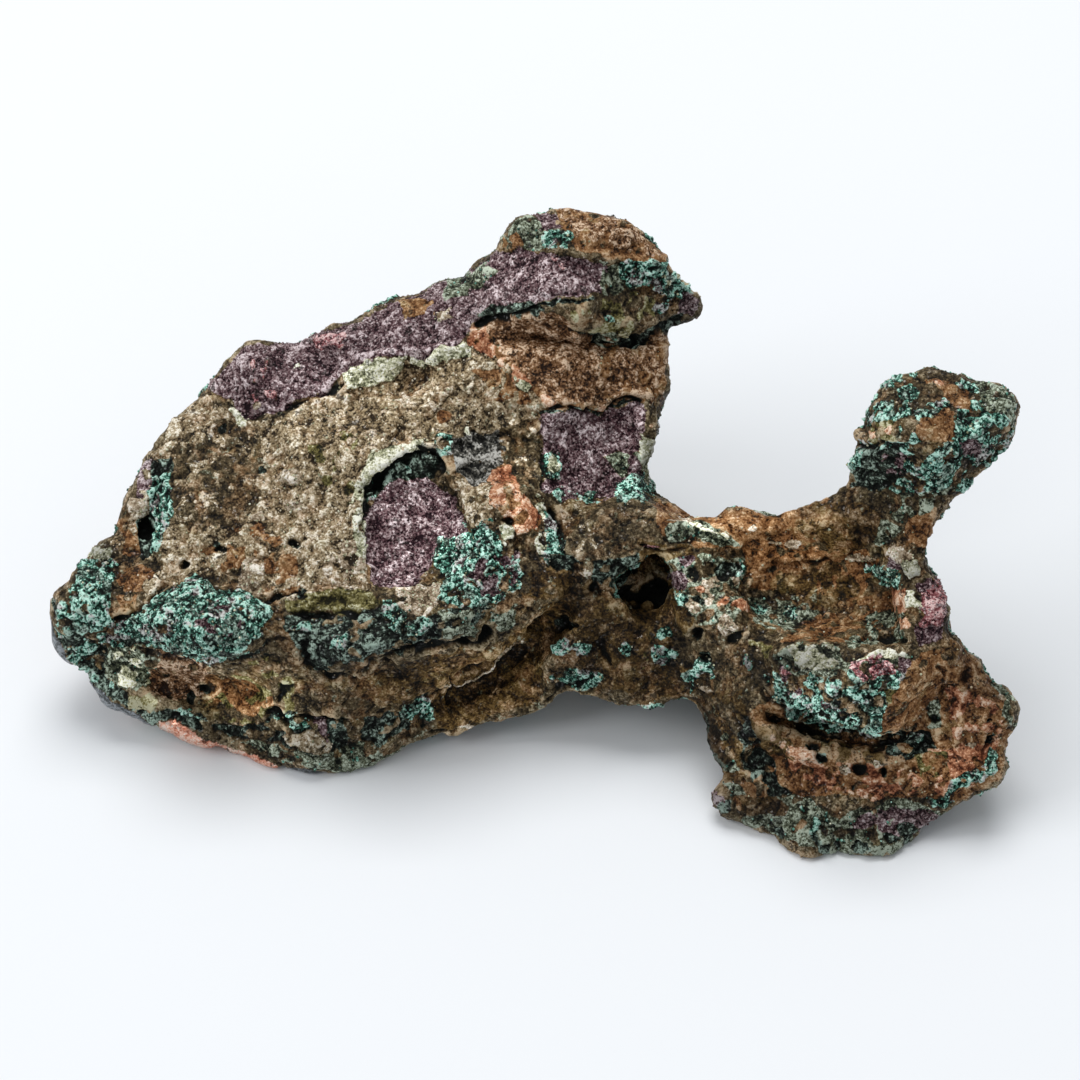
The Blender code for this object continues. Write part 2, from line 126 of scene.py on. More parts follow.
def readVectors(items, name):
    values = np.empty(len(items) * 3)
    items.foreach_get(name, values)
    return values.reshape(-1, 3)


def readPairs(mesh):
    values = np.empty(len(mesh.edges) * 2, np.int32)
    mesh.edges.foreach_get("vertices", values)
    return values.reshape(-1, 2)


def meshFrom(name, points, faces):
    mesh = bpy.data.meshes.new(name)
    mesh.vertices.add(len(points))
    mesh.vertices.foreach_set("co", np.ascontiguousarray(points, np.float32).ravel())
    mesh.loops.add(len(faces) * 3)
    mesh.loops.foreach_set("vertex_index", np.ascontiguousarray(faces, np.int32).ravel())
    mesh.polygons.add(len(faces))
    mesh.polygons.foreach_set("loop_start", np.arange(len(faces), dtype=np.int32) * 3)
    mesh.update(calc_edges=True)
    mesh.validate()
    mesh.shade_flat()
    return mesh


def storeValues(mesh, name, values):
    layer = mesh.attributes.new(name, "FLOAT", "POINT")
    layer.data.foreach_set("value", np.ascontiguousarray(values, np.float32))




def valuesOf(mesh, name):
    values = np.empty(len(mesh.vertices), np.float32)
    mesh.attributes[name].data.foreach_get("value", values)
    return values.astype(float)


def spreadOut(values, pairs, rounds):
    # evens a value out over neighbouring points
    count = len(values)
    degree = np.bincount(pairs[:, 0], minlength=count) + np.bincount(pairs[:, 1], minlength=count)
    degree = np.maximum(degree, 1)
    for _ in range(rounds):
        total = np.bincount(pairs[:, 0], values[pairs[:, 1]], count)
        total += np.bincount(pairs[:, 1], values[pairs[:, 0]], count)
        values = 0.5 * values + 0.5 * total / degree
    return values


def step(value, low, high):
    share = np.clip((value - low) / (high - low), 0.0, 1.0)
    return share * share * (3.0 - 2.0 * share)


def grainField(points, size, shift=0.0):
    # smooth noise from -1 to 1, points in mm
    places = (points / size + shift).tolist()
    return np.array([noise.noise(place) for place in places])


def brokenField(points, size, shift=0.0):
    # tilted flats of broken rock, about -0.5 to 0.5, and the gaps between them, 1 in a gap
    places = points / size + shift
    found = [noise.voronoi(place) for place in places.tolist()]
    cores = np.array([near[0][:] for _, near in found])
    tilts = np.array([noise.cell_vector(core)[:] for core in (cores * 37.0).tolist()]) - 0.5
    flats = ((places - cores) * tilts).sum(1) * 1.6 + tilts[:, 0] * 0.5
    gaps = 1.0 - step(np.array([away[1] - away[0] for away, _ in found]), 0.0, 0.16)
    return flats, gaps


def creaseField(points, size, shift=0.0):
    # sharp ridges and folds, about -0.5 to 0.5
    rough = 1.0 - 2.0 * np.abs(grainField(points, size, shift))
    return rough - 0.7 + 0.45 * (1.0 - 2.0 * np.abs(grainField(points, 0.47 * size, shift + 3.0)) - 0.7)


# ---- what lies where: outlines in pixels, later ones on top of earlier ones

patches = [
    # sandstone face of the slab
    ("sand", 1.0, 5, "150,470 166,432 205,392 230,414 262,424 300,404 335,388 365,364 430,362 470,345 500,350 520,382 548,402 540,440 520,470 500,480 470,470 440,450 410,450 375,465 362,500 365,560 370,592 330,594 290,598 262,592 240,570 215,576 190,580 160,592 130,602 112,582 106,550 122,520 140,500"),
    ("brown", 0.7, 8, "175,440 225,420 262,440 262,500 240,530 200,540 170,520 165,480"),
    ("brown", 0.75, 6, "106,548 150,545 175,560 160,590 130,600 110,585"),
    ("rust", 0.8, 4, "120,565 150,565 160,575 150,592 128,592 118,580"),
    ("rust", 0.5, 8, "255,515 300,560 300,592 262,590 245,570 215,570 190,560 210,545"),
    ("quartz", 0.55, 6, "335,545 372,520 372,590 330,592 325,570"),
    ("quartz", 0.2, 8, "260,375 470,372 430,440 300,450"),
    ("olive", 0.35, 8, "300,440 350,430 372,470 355,520 320,480"),
    ("calcite", 0.85, 4, "343,366 372,358 408,356 404,372 378,386 350,388"),
    ("calcite", 0.85, 4, "410,354 440,346 470,340 470,356 434,366 412,366"),
    ("calcite", 0.72, 6, "350,500 354,480 366,464 374,474 366,492 366,520 370,545 368,560 358,556 354,530"),
    ("calcite", 0.5, 4, "228,406 250,412 246,426 232,424"),
    ("calcite", 0.85, 6, "364,462 374,450 398,444 424,442 426,450 402,455 388,465 374,478"),
    ("rust", 0.7, 5, "436,408 462,406 466,420 440,424"),
    ("rust", 0.8, 6, "465,312 500,312 500,350 475,352 466,338"),
    ("rust", 0.6, 6, "470,370 505,368 540,395 548,410 500,400"),
    ("quartz", 0.8, 3, "245,562 258,556 268,570 262,592 250,600 238,590"),
    # band of malachite low on the slab
    ("dark", 0.6, 6, "52,600 75,590 100,600 110,640 108,665 80,668 60,645"),
    ("malachite", 0.6, 5, "60,600 75,580 100,548 118,560 112,590 105,630 112,650 90,660 70,650 55,630"),
    ("malachite", 0.9, 4, "78,560 105,562 104,600 112,628 98,632 84,600 74,585"),
    ("calcite", 0.7, 3, "88,552 104,542 112,552 104,566 92,562"),
    ("rust", 0.8, 3, "118,596 134,594 138,608 126,616 118,610"),
    ("malachite", 0.92, 5, "148,604 166,590 200,572 215,590 240,588 262,600 273,612 264,628 244,656 212,668 180,656 150,646 112,650 104,640 118,622"),
    ("cuprite", 0.35, 6, "190,600 250,610 240,640 200,630"),
    # painted shadow under the bulging malachite band
    ("dark", 0.6, 5, "112,642 150,638 200,656 250,652 275,640 270,656 205,668 150,662"),
    ("brown", 0.9, 5, "150,655 210,668 262,655 290,670 300,700 262,705 200,705 150,700 128,690 140,670"),
    ("calcite", 0.6, 4, "112,655 135,650 150,668 142,682 128,690 118,676"),
    ("olive", 1.0, 4, "284,598 330,592 362,590 375,600 402,603 396,614 360,612 330,610 300,614 285,612"),
    ("dark", 0.75, 6, "278,612 300,614 340,612 380,606 420,620 440,612 486,598 500,606 470,630 430,645 400,655 370,660 345,672 320,676 300,660 290,640"),
    ("malachite", 0.5, 3, "316,616 345,614 342,626 320,624"),
    ("malachite", 0.5, 3, "330,634 352,632 348,648 330,648"),
    ("malachite", 0.65, 4, "380,600 420,612 436,626 410,636 386,622"),
    ("quartz", 0.75, 4, "395,590 420,582 445,586 442,604 425,618 402,610"),
    ("umber", 1.0, 5, "355,680 400,668 440,660 450,690 440,705 400,702 360,695"),
    ("rust", 0.95, 5, "200,682 242,678 262,690 275,706 252,716 215,702"),
    ("olive", 0.35, 6, "240,668 262,655 300,680 300,730 240,725 200,715"),
    ("quartz", 0.9, 3, "130,702 152,700 154,708 136,712"),
    ("dark", 0.6, 5, "165,710 200,712 215,735 260,740 300,750 340,760 380,742 420,728 436,704 430,690 400,712 350,722 300,712 270,712 262,725 220,728"),
    ("sand", 0.9, 3, "280,736 310,730 332,740 330,752 300,752"),
    ("malachite", 0.75, 3, "165,712 190,708 200,722 186,726"),
    ("malachite", 0.65, 3, "272,714 310,716 310,728 280,730"),
    ("malachite", 0.6, 4, "392,704 430,700 432,720 405,724"),
    ("cuprite", 0.9, 3, "313,718 330,722 326,740 316,732"),
    ("greygreen", 0.75, 5, "205,742 240,742 262,755 300,764 345,772 385,752 370,742 330,752 290,750 250,740"),
    ("dark", 0.9, 5, "50,628 75,636 105,648 118,664 120,690 132,704 156,724 150,728 128,712 100,696 76,676 58,655"),
    ("malachite", 0.5, 4, "54,632 100,640 116,664 112,690 92,684 70,664"),
    ("greygreen", 0.85, 5, "106,648 140,645 158,662 158,680 140,692 118,690 104,670"),
    ("calcite", 0.5, 4, "112,652 138,646 156,662 152,682 136,690 118,686"),
    ("russet", 0.8, 5, "152,648 175,655 205,668 212,690 195,700 165,700 150,692 150,674 160,660"),
    ("olive", 1.0, 3, "126,698 150,694 157,704 150,713 130,711"),
    ("dark", 0.75, 4, "143,714 165,711 190,716 204,732 180,728 160,724 146,718"),
    # west edge and its pocket
    ("rust", 0.7, 4, "118,520 142,512 150,548 124,554"),
    ("cuprite", 0.5, 4, "136,468 152,458 152,500 138,505"),
    ("quartz", 0.7, 3, "128,500 148,496 148,514 130,516"),
    ("dark", 0.8, 3, "150,462 172,456 174,480 150,482"),
    ("malachite", 1.0, 3, "150,478 173,474 172,515 160,552 147,552 150,520"),
    ("dark", 1.0, 2, "137,516 152,512 151,552 143,560 137,545"),
    # cuprite rim and the peak
    ("cuprite", 1.0, 4, "205,388 240,347 300,337 360,320 420,290 480,262 495,250 530,248 560,255 600,262 612,275 600,292 560,298 520,308 480,318 470,322 465,335 455,345 440,345 425,358 390,355 365,360 345,370 335,382 325,395 300,398 285,408 250,417 235,412 228,400 215,392"),
    ("pink", 0.7, 4, "312,336 345,330 350,344 318,352"),
    ("pink", 0.5, 4, "250,352 266,352 266,402 252,402"),
    ("calcite", 0.6, 2, "294,350 301,350 301,368 295,368"),
    ("greygreen", 0.8, 4, "440,285 485,262 500,270 470,296 446,300"),
    ("rust", 0.8, 4, "396,300 432,296 436,312 404,318"),
    ("quartz", 0.8, 2, "436,310 449,308 449,320 438,322"),
    ("greygreen", 0.8, 4, "498,238 520,216 545,210 562,232 548,248 505,248"),
    ("cuprite", 0.7, 3, "532,210 562,206 564,228 545,230"),
    ("rust", 0.95, 4, "556,208 580,205 622,216 652,238 668,256 640,262 600,254 580,248 562,230"),
    ("malachite", 0.55, 3, "545,230 575,234 576,248 545,247"),
    ("greygreen", 0.85, 3, "600,258 622,262 622,290 602,294"),
    ("russet", 0.6, 6, "560,208 610,212 650,238 664,254 640,258 600,244 566,232"),
    ("malachite", 1.0, 3, "620,260 650,255 664,262 656,285 630,290 618,276"),
    ("malachite", 0.75, 3, "655,264 690,284 696,298 672,302 656,292"),
    ("calcite", 0.35, 3, "660,268 688,284 690,296 668,296"),
    ("cuprite", 1.0, 3, "684,288 702,300 696,320 680,316"),
    # painted shade under the beak
    ("dark", 0.8, 3, "664,316 690,316 674,330 662,332"),
    ("dark", 0.9, 4, "478,312 500,304 530,302 545,312 520,326 490,328"),
    ("rust", 0.7, 4, "500,238 516,232 524,246 508,252"),
    # face under the peak
    ("rust", 1.0, 5, "475,325 560,330 664,326 672,345 668,385 655,440 640,405 600,410 548,408 520,382 505,362 480,350"),
        ("russet", 1.0, 5, "478,318 520,318 560,312 580,334 629,342 668,332 672,345 668,385 655,440 640,405 600,404 560,404 535,385 500,352"),
    ("rust", 0.5, 8, "600,350 668,338 668,385 655,430 640,402 600,400"),
    ("coral", 0.55, 6, "466,316 482,322 490,342 522,370 540,386 562,404 552,408 518,388 496,362 468,346"),
    ("coral", 0.7, 3, "594,403 606,403 606,413 595,412"),
    ("calcite", 0.5, 3, "512,376 530,382 536,392 522,392"),
    ("brown", 1.0, 4, "560,304 574,296 620,290 668,296 672,318 655,332 625,342 596,338 574,334"),
    ("olive", 0.4, 5, "566,304 574,296 620,292 660,298 664,318 640,336 610,338 576,332"),
    # painted shadow under the overhanging brow
    ("dark", 0.75, 4, "574,332 608,336 640,334 664,322 670,328 645,343 600,345"),
    ("greygreen", 0.8, 3, "598,336 620,334 622,344 610,350 598,344"),
    # east window
    ("cuprite", 1.0, 3, "541,415 560,410 600,416 630,402 645,405 645,430 640,470 640,490 600,498 560,500 545,490 541,450"),
    ("malachite", 0.85, 6, "541,458 550,452 560,456 562,470 556,481 545,478"),
    ("calcite", 0.5, 4, "545,462 551,456 558,460 558,472 549,474"),
    ("greygreen", 0.6, 7, "606,456 622,450 644,452 640,480 622,478"),
    ("malachite", 0.8, 6, "612,484 632,474 652,472 656,490 640,504 616,500"),
    ("brown", 0.9, 3, "645,400 662,395 660,440 650,455 646,430"),
    ("calcite", 0.6, 3, "641,430 657,440 655,470 646,490 641,470"),
    ("malachite", 0.5, 3, "548,490 600,494 612,504 560,506"),
    # cuprite window and the patches by it
    # painted shadow in the undercut along the top of the cuprite window
    ("dark", 1.0, 3, "366,500 372,480 395,458 430,448 442,458 436,476 398,481 382,492"),
    ("malachite", 0.4, 3, "364,500 378,476 400,462 412,470 392,482 374,500"),
    ("cuprite", 1.0, 2, "380,492 398,480 415,478 430,475 445,490 460,510 468,532 450,545 440,552 430,565 420,580 400,590 375,585 369,560 368,520 375,500"),
    ("brown", 1.0, 4, "446,438 475,430 500,434 506,470 490,485 452,480"),
    ("slate", 0.95, 3, "452,440 470,432 500,430 508,452 492,484 470,484 456,474"),
    ("brown", 0.8, 4, "500,425 540,420 545,480 520,490 500,475"),
    ("malachite", 0.6, 3, "436,435 456,434 455,456 438,456"),
    ("calcite", 0.8, 3, "455,424 470,422 470,434 456,434"),
    ("sand", 0.8, 4, "455,485 490,484 492,512 500,528 470,526"),
    ("malachite", 0.6, 4, "462,522 500,518 506,538 470,536"),
    ("malachite", 0.95, 3, "437,540 455,534 480,530 500,535 502,560 480,575 455,580 440,572 432,560"),
    ("malachite", 0.7, 4, "440,570 480,575 520,552 528,580 505,600 470,606 440,600"),
    ("cuprite", 0.45, 4, "465,560 520,552 526,580 490,596 465,590"),
    ("calcite", 0.9, 3, "500,526 515,524 516,545 503,546"),
    ("calcite", 0.5, 3, "535,490 545,500 550,540 545,560 535,545"),
    ("malachite", 0.9, 3, "543,508 560,520 562,550 572,566 556,572 545,565 545,540"),
    ("rust", 1.0, 3, "490,471 498,466 511,467 522,488 542,520 538,530 520,534 505,518 490,504"),
    ("coral", 0.68, 3, "490,471 511,467 522,488 542,520 538,530 520,534 505,518 490,504"),
    # waist
    ("brown", 1.0, 5, "555,500 610,504 640,500 640,545 600,555 575,565 562,540"),
    ("sand", 0.4, 5, "560,502 600,506 596,550 572,560 564,530"),
    # painted shadow below the triangular face by the waist
    ("dark", 0.7, 3, "540,552 570,554 585,565 572,574 545,570"),
    ("umber", 0.6, 3, "522,580 545,566 576,572 570,592 545,600 525,598"),
    ("dark", 0.9, 4, "590,562 640,553 645,566 620,586 595,582"),
    ("umber", 1.0, 4, "545,640 560,612 590,580 602,585 575,620 555,648"),
    ("greygreen", 0.6, 5, "440,612 500,604 520,600 515,625 480,640 445,640"),
    ("umber", 0.9, 5, "430,655 500,645 545,605 575,600 545,650 540,700 500,715 440,735 430,700"),
    # body under the bridge
    ("umber", 1.0, 6, "555,585 640,600 690,650 680,700 600,690 570,650"),
    ("olive", 0.3, 6, "640,600 680,600 700,640 690,690 640,680"),
    ("umber", 0.7, 5, "640,545 700,560 690,640 700,690 650,700 640,620"),
    # saddle and bowl
    ("rust", 0.95, 6, "655,498 700,512 760,506 830,496 835,545 700,550 660,530"),
    ("greygreen", 0.85, 3, "664,526 690,521 712,524 740,543 722,548 700,540 668,542"),
    ("umber", 0.8, 5, "640,540 690,545 700,560 670,562 640,556"),
    ("greygreen", 0.6, 5, "666,560 700,555 745,562 748,590 735,622 700,626 675,602"),
    ("quartz", 0.35, 5, "672,580 740,570 744,600 700,620 676,600"),
    ("rust", 0.8, 6, "742,550 860,548 880,560 860,600 800,590 750,590"),
    ("brown", 1.0, 5, "690,625 745,628 760,650 752,690 700,668 670,662 672,640"),
    ("greygreen", 0.8, 4, "748,600 800,596 822,610 792,630 762,630"),
    ("malachite", 0.35, 4, "750,602 790,600 800,620 764,628"),
    ("umber", 0.6, 6, "775,575 850,560 860,600 820,610 780,600"),
    ("umber", 1.0, 6, "800,505 850,500 870,505 885,520 880,545 830,550 800,535"),
    ("rust", 0.6, 5, "840,600 900,590 905,625 850,640 770,640 800,625"),
    ("greygreen", 0.5, 5, "868,615 905,610 918,640 860,650 840,646"),
    ("greygreen", 0.7, 4, "880,520 905,505 905,520 890,545 872,545"),
    ("rust", 0.6, 4, "902,518 940,508 934,548 905,545"),
    ("quartz", 1.0, 2, "889,546 905,545 913,560 905,564 892,556"),
    ("calcite", 0.9, 2, "904,564 918,560 921,573 908,576"),
    ("malachite", 0.95, 3, "873,568 890,562 902,574 898,590 880,585"),
    ("coral", 0.7, 3, "892,590 906,588 908,612 896,614"),
    ("calcite", 0.6, 3, "906,590 922,592 920,614 907,612"),
    ("pink", 1.0, 3, "920,582 942,578 946,600 944,625 935,643 918,640 922,612"),
    ("cuprite", 0.6, 3, "914,578 940,578 932,592 918,592"),
    ("cuprite", 0.8, 3, "916,625 944,628 936,645 918,643"),
    # crust lip
    ("dark", 0.8, 4, "770,680 800,690 870,690 924,690 915,712 895,728 870,738 820,728 795,712 778,700"),
    ("malachite", 0.62, 3, "770,672 800,680 850,672 905,670 926,700 915,712 895,728 870,738 820,728 795,712 778,692"),
    ("dark", 0.3, 4, "775,680 800,700 860,720 880,735 820,726 790,710"),
    ("greygreen", 0.8, 3, "773,655 800,645 840,648 850,664 905,651 916,662 880,670 840,674 800,674 780,670"),
    ("calcite", 0.55, 3, "790,648 832,647 838,668 800,670"),
    ("calcite", 0.8, 2, "852,660 905,650 908,656 860,666"),
    ("pink", 0.6, 3, "851,664 885,658 894,674 862,684 850,676"),
    ("cuprite", 0.55, 3, "780,666 800,672 812,692 786,696"),
    ("cuprite", 0.6, 3, "898,656 916,660 915,676 900,674"),
    ("cuprite", 0.4, 3, "820,695 845,700 842,712 822,708"),
    ("olive", 0.7, 3, "884,690 905,688 905,712 888,714"),
    ("malachite", 0.35, 2, "742,650 752,655 775,688 800,715 795,722 770,695 748,668"),
    ("olive", 0.5, 3, "748,640 775,645 772,665 755,664"),
    # skirt and foot
    ("rust", 1.0, 6, "745,715 770,700 800,735 900,742 960,700 1000,690 1012,740 1000,780 960,800 900,800 830,795 790,800 750,740"),
    ("umber", 0.5, 5, "760,700 800,735 900,750 960,720 940,745 880,765 800,755 762,725"),
    ("rust", 0.9, 5, "880,720 920,650 960,650 1000,690 1012,740 990,780 940,800 900,780"),
    ("umber", 0.8, 6, "698,690 740,690 750,720 790,740 800,770 760,740 730,710"),
    ("umber", 0.7, 4, "732,712 750,715 762,735 790,748 780,760 750,748 736,735"),
    ("umber", 0.95, 5, "690,700 712,705 738,742 744,775 735,790 716,785 708,762 696,735"),
    ("greygreen", 0.4, 4, "700,705 720,725 742,765 735,785 712,755"),
    ("rust", 0.9, 4, "744,778 770,782 788,812 760,812 738,812 732,800"),
    ("cuprite", 0.7, 3, "710,790 724,796 730,812 716,810"),
    ("coral", 0.6, 4, "784,745 815,748 800,762 786,758"),
    ("coral", 0.5, 8, "770,735 850,765 900,765 940,790 880,800 800,780"),
    ("coral", 0.55, 8, "940,690 985,690 1005,720 995,770 950,800 930,790 960,750"),
    ("dark", 0.7, 5, "885,735 905,728 930,735 935,750 905,762 888,752"),
    ("dark", 0.55, 5, "742,712 760,740 775,775 790,800 770,802 748,770 736,735"),
    ("coral", 0.5, 4, "845,775 875,780 872,794 852,790"),
    ("coral", 0.6, 3, "888,770 900,770 898,782 888,780"),
    ("coral", 0.45, 5, "920,750 965,745 990,760 960,772 925,765"),
    ("olive", 0.6, 4, "915,755 945,750 945,775 922,776"),
    ("malachite", 0.35, 3, "898,735 922,732 926,745 906,760 894,755"),
    ("greygreen", 0.7, 4, "925,700 940,700 942,728 928,730"),
    ("malachite", 0.8, 3, "930,802 945,796 950,782 965,770 985,762 990,748 1000,753 996,772 976,782 957,792 946,809 932,808"),
    ("dark", 0.7, 4, "738,745 770,760 792,800 770,800 745,770"),
    ("greygreen", 0.85, 4, "752,806 790,795 840,815 900,798 935,812 965,822 930,845 870,858 835,858 780,836 740,822"),
    ("dark", 0.35, 5, "752,812 790,806 840,826 900,812 962,822 930,848 870,860 835,860 780,840"),
    ("malachite", 0.3, 4, "780,792 826,800 832,830 800,836 775,815"),
    ("cuprite", 0.75, 4, "870,808 930,812 955,826 920,840 870,832 850,824"),
    ("dark", 0.6, 4, "900,826 955,824 940,842 900,850"),
    ("umber", 0.9, 4, "735,795 785,800 790,815 745,815"),
    ("greygreen", 0.8, 5, "728,782 744,786 748,794 734,796"),
    ("dark", 0.8, 3, "714,798 730,800 732,814 718,812"),
    ("rust", 0.7, 6, "950,640 980,655 1005,690 995,700 960,690"),
    ("greygreen", 0.75, 3, "994,680 1014,698 1016,728 1004,716"),
    # knob
    ("malachite", 0.5, 5, "855,470 850,440 862,418 873,395 890,378 930,370 975,383 1010,388 1018,410 1010,440 985,475 960,497 920,500 870,480"),
    ("rust", 0.9, 4, "922,380 950,378 968,392 972,412 955,408 940,390"),
    ("rust", 0.9, 4, "918,416 956,410 956,440 932,446 918,432"),
    ("coral", 0.5, 3, "925,380 945,378 945,388 926,390"),
    ("malachite", 0.95, 3, "958,420 985,425 992,445 976,461 953,456"),
    ("cuprite", 0.9, 2, "960,438 976,436 980,450 966,455"),
    ("greygreen", 0.85, 4, "975,384 1005,384 1016,400 1012,424 985,410"),
    ("malachite", 0.7, 3, "882,408 900,404 905,415 890,424 878,420"),
    ("olive", 0.6, 4, "862,425 890,420 900,440 870,448"),
    ("coral", 0.7, 2, "868,430 878,428 880,437 870,438"),
    # painted shade under the knob's overhang
    ("dark", 1.0, 4, "850,450 870,446 905,452 908,472 882,492 852,484"),
    ("malachite", 0.8, 3, "850,452 864,450 864,468 850,470"),
    ("cuprite", 0.7, 3, "884,456 912,458 908,476 886,472"),
    ("malachite", 0.6, 3, "905,450 935,460 930,476 906,470"),
    ("greygreen", 0.5, 4, "900,492 960,488 940,508 905,520"),
    # worn copper along the lower edge of the slab
    ("polish", 1.0, 2, "40,600 49,612 56,640 71,664 94,686 112,702 134,714 156,728 168,738 205,755 262,770 300,768 345,776 345,795 250,790 150,760 60,700"),
    ("copper", 1.0, 2, "157,720 180,724 200,737 208,741 234,749 260,758 281,768 273,777 240,776 200,766 166,742"),
]

# stretches painted lighter or darker than their minerals: partly painted light on lit slopes and painted shade on
# shaded faces, under overhangs and under the bridge, partly the stretch's own lighter or darker tone. Columns: factor,
# soft edge, outline
tones = [
    (1.1, 8, "478,330 560,335 655,335 665,360 660,400 600,400 545,400 520,380"),
    (1.15, 8, "500,350 560,345 655,345 655,362 560,372 510,368"),
    (1.6, 10, "430,655 500,645 545,605 575,600 545,650 540,700 500,715 440,735 430,700"),
    (0.7, 10, "555,585 640,600 690,650 680,700 600,690 570,650"),
    (0.55, 6, "545,640 560,612 590,580 602,585 575,620 555,648"),
    (1.5, 5, "541,415 560,410 600,416 630,402 645,405 645,430 640,490 600,498 560,500 545,490"),
    (1.35, 5, "380,492 398,480 430,475 445,490 468,532 440,552 430,565 400,590 375,585 369,560"),
    (1.8, 5, "366,500 372,480 395,458 430,448 442,458 436,476 398,481 382,492"),
    (1.4, 10, "742,550 860,548 880,560 860,600 800,590 750,590"),
    (0.75, 8, "752,806 790,795 840,812 900,798 935,812 970,822 930,850 870,862 835,862 780,840 735,826"),
    # painted shadow on the inner side of the right foot, under the bridge
    (0.17, 5, "690,700 706,706 722,736 730,765 716,772 700,755 690,730"),
    (0.5, 6, "706,765 735,775 790,805 780,825 725,815 708,800"),
    (0.75, 5, "735,722 760,718 772,740 745,745"),
    (0.55, 8, "950,630 980,650 1010,688 995,700 965,690"),
    (0.75, 6, "278,612 300,616 380,608 430,622 486,600 500,606 470,630 400,655 345,672 320,676 300,660 290,640"),
    (1.25, 6, "200,682 242,678 262,690 275,706 252,716 215,702"),
    (1.7, 8, "200,660 230,668 262,655 300,680 300,730 240,725 200,705 150,700 140,670"),
    (0.85, 8, "555,500 610,504 640,500 640,545 600,555 575,565 562,540"),
    (0.8, 8, "800,505 850,500 870,505 885,520 880,545 830,550 800,535"),
    (0.5, 4, "902,562 922,560 922,576 904,576"),
    (0.5, 4, "86,550 106,540 114,552 100,568"),
    (0.35, 5, "742,650 752,655 775,688 800,715 795,722 770,695 748,668"),
    # painted light on the lit slope of the saddle
    (1.8, 9, "690,524 760,516 845,520 850,550 700,556"),
    (1.2, 8, "470,272 500,250 600,262 600,292 500,312"),
    (0.95, 4, "126,698 150,694 157,704 150,713 130,711"),
    (1.4, 6, "112,652 138,646 158,662 152,682 136,690 118,686"),
    # painted shade in the recess under the malachite band
    (0.6, 6, "150,652 200,668 205,696 165,696 150,688"),
    (0.65, 5, "278,736 310,728 334,740 330,754 300,754"),
    (1.5, 6, "500,425 540,420 545,480 520,490 500,475"),
    (0.6, 4, "641,430 657,440 655,470 646,492 641,470"),
    (0.55, 6, "698,690 740,690 750,720 762,740 735,735 725,712"),
    (1.25, 8, "345,360 400,352 470,338 480,352 430,380 345,392"),
    (1.25, 12, "260,375 470,372 430,440 300,450"),
    (1.6, 8, "910,752 945,748 990,755 960,775 920,778"),
    (1.0, 4, "490,471 510,467 518,500 492,504"),
    (1.6, 4, "504,504 520,492 542,518 540,530 520,534"),
    (0.5, 4, "684,288 704,300 698,322 664,332 662,316 680,316"),
    (1.3, 6, "437,540 455,534 500,535 502,560 480,575 440,572"),
    (1.3, 5, "848,662 890,658 894,674 862,684"),
    (0.45, 5, "800,650 770,655 785,668 838,668 836,648"),
    (1.35, 6, "666,560 700,555 745,562 748,590 735,622 700,626 675,602"),
    (1.25, 6, "380,492 398,480 430,475 445,490 468,532 440,552 430,565 400,590 375,585 369,560"),
    (0.85, 8, "745,715 770,700 800,735 900,742 960,700 1000,690 1012,740 1000,780 960,800 900,800 830,795 790,800 750,740"),
    (1.35, 6, "770,680 800,690 870,690 924,690 915,712 895,728 870,738 820,728 795,712 778,700"),
    (0.9, 5, "600,350 668,338 668,385 655,430 640,402 600,400"),
    (1.2, 5, "784,745 815,748 800,762 786,758"),
    (0.95, 6, "566,304 574,296 620,292 660,298 664,318 640,336 610,338 576,332"),
    (0.85, 3, "156,714 182,724 232,748 280,768 272,776 200,764 165,742"),
]

# small spots: across, down, half width, half height
spots = {
    "malachite": "562,648,10,8 581,648,8,8 626,650,5,6 580,680,20,10 655,705,14,4 665,635,9,8 664,655,14,8 692,674,14,6 706,668,10,7 553,677,4,3 607,315,5,4 661,307,10,6 813,678,4,4 932,458,6,6 870,570,5,4 736,570,8,8 683,600,9,7 300,628,12,5 255,636,8,5",
    # dark spots: most sit on the pits and are painted shade in them
    "dark": "214,545,4,6 294,544,4,5 184,565,3,4 222,430,4,4 262,470,4,3 300,592,4,4 694,636,4,4 705,660,4,4 812,745,5,4 820,758,4,5 858,768,5,4 855,785,3,3 885,772,3,4 760,743,5,3 728,570,10,9 205,690,6,4 195,698,5,4 992,742,3,5 985,720,3,3 700,600,5,4 562,624,9,4",
    "cuprite": "680,580,10,9 895,563,7,5 905,665,8,8 690,560,7,5",
    "pink": "556,258,3,3 562,267,3,3 787,672,5,4 652,547,8,2 935,600,5,9 270,395,6,5",
    "quartz": "211,432,4,7 290,477,12,9 294,505,10,5 258,517,6,4 751,528,5,3 775,543,7,3 794,542,8,3 853,556,7,4 867,558,8,4 727,625,8,9 585,571,5,4 466,728,6,3 405,400,6,4 330,420,5,4 350,440,4,3 255,405,4,3 705,690,5,3 771,700,3,3 878,765,5,4 845,770,6,4 970,745,4,3 1000,700,3,3",
    "coral": "795,752,9,5 806,755,5,4 889,432,5,4 700,590,6,4 740,606,10,5 905,622,6,4 722,605,5,4",
}

# thin veins: width, then points
veins = [
    ("quartz", 3, "440,686 455,684 470,680 482,674 490,665 500,655 512,645 524,638"),
    ("calcite", 3, "690,524 708,528 727,537"),
    ("quartz", 3, "668,521 690,522"),
    ("rust", 5, "578,247 610,252 640,258 660,257"),
    ("malachite", 3, "690,690 700,668 715,676"),
    # dark veins: painted shade along the undercut under the brow, along the top of the east window and in a crack by
    # the waist
    ("dark", 4, "476,322 500,316 530,308 560,301 590,298"),
    ("dark", 3, "541,414 560,408 600,414 625,400 642,402"),
    ("dark", 3, "552,512 560,530 562,550"),
    ("greygreen", 4, "352,770 380,758 420,742"),
]

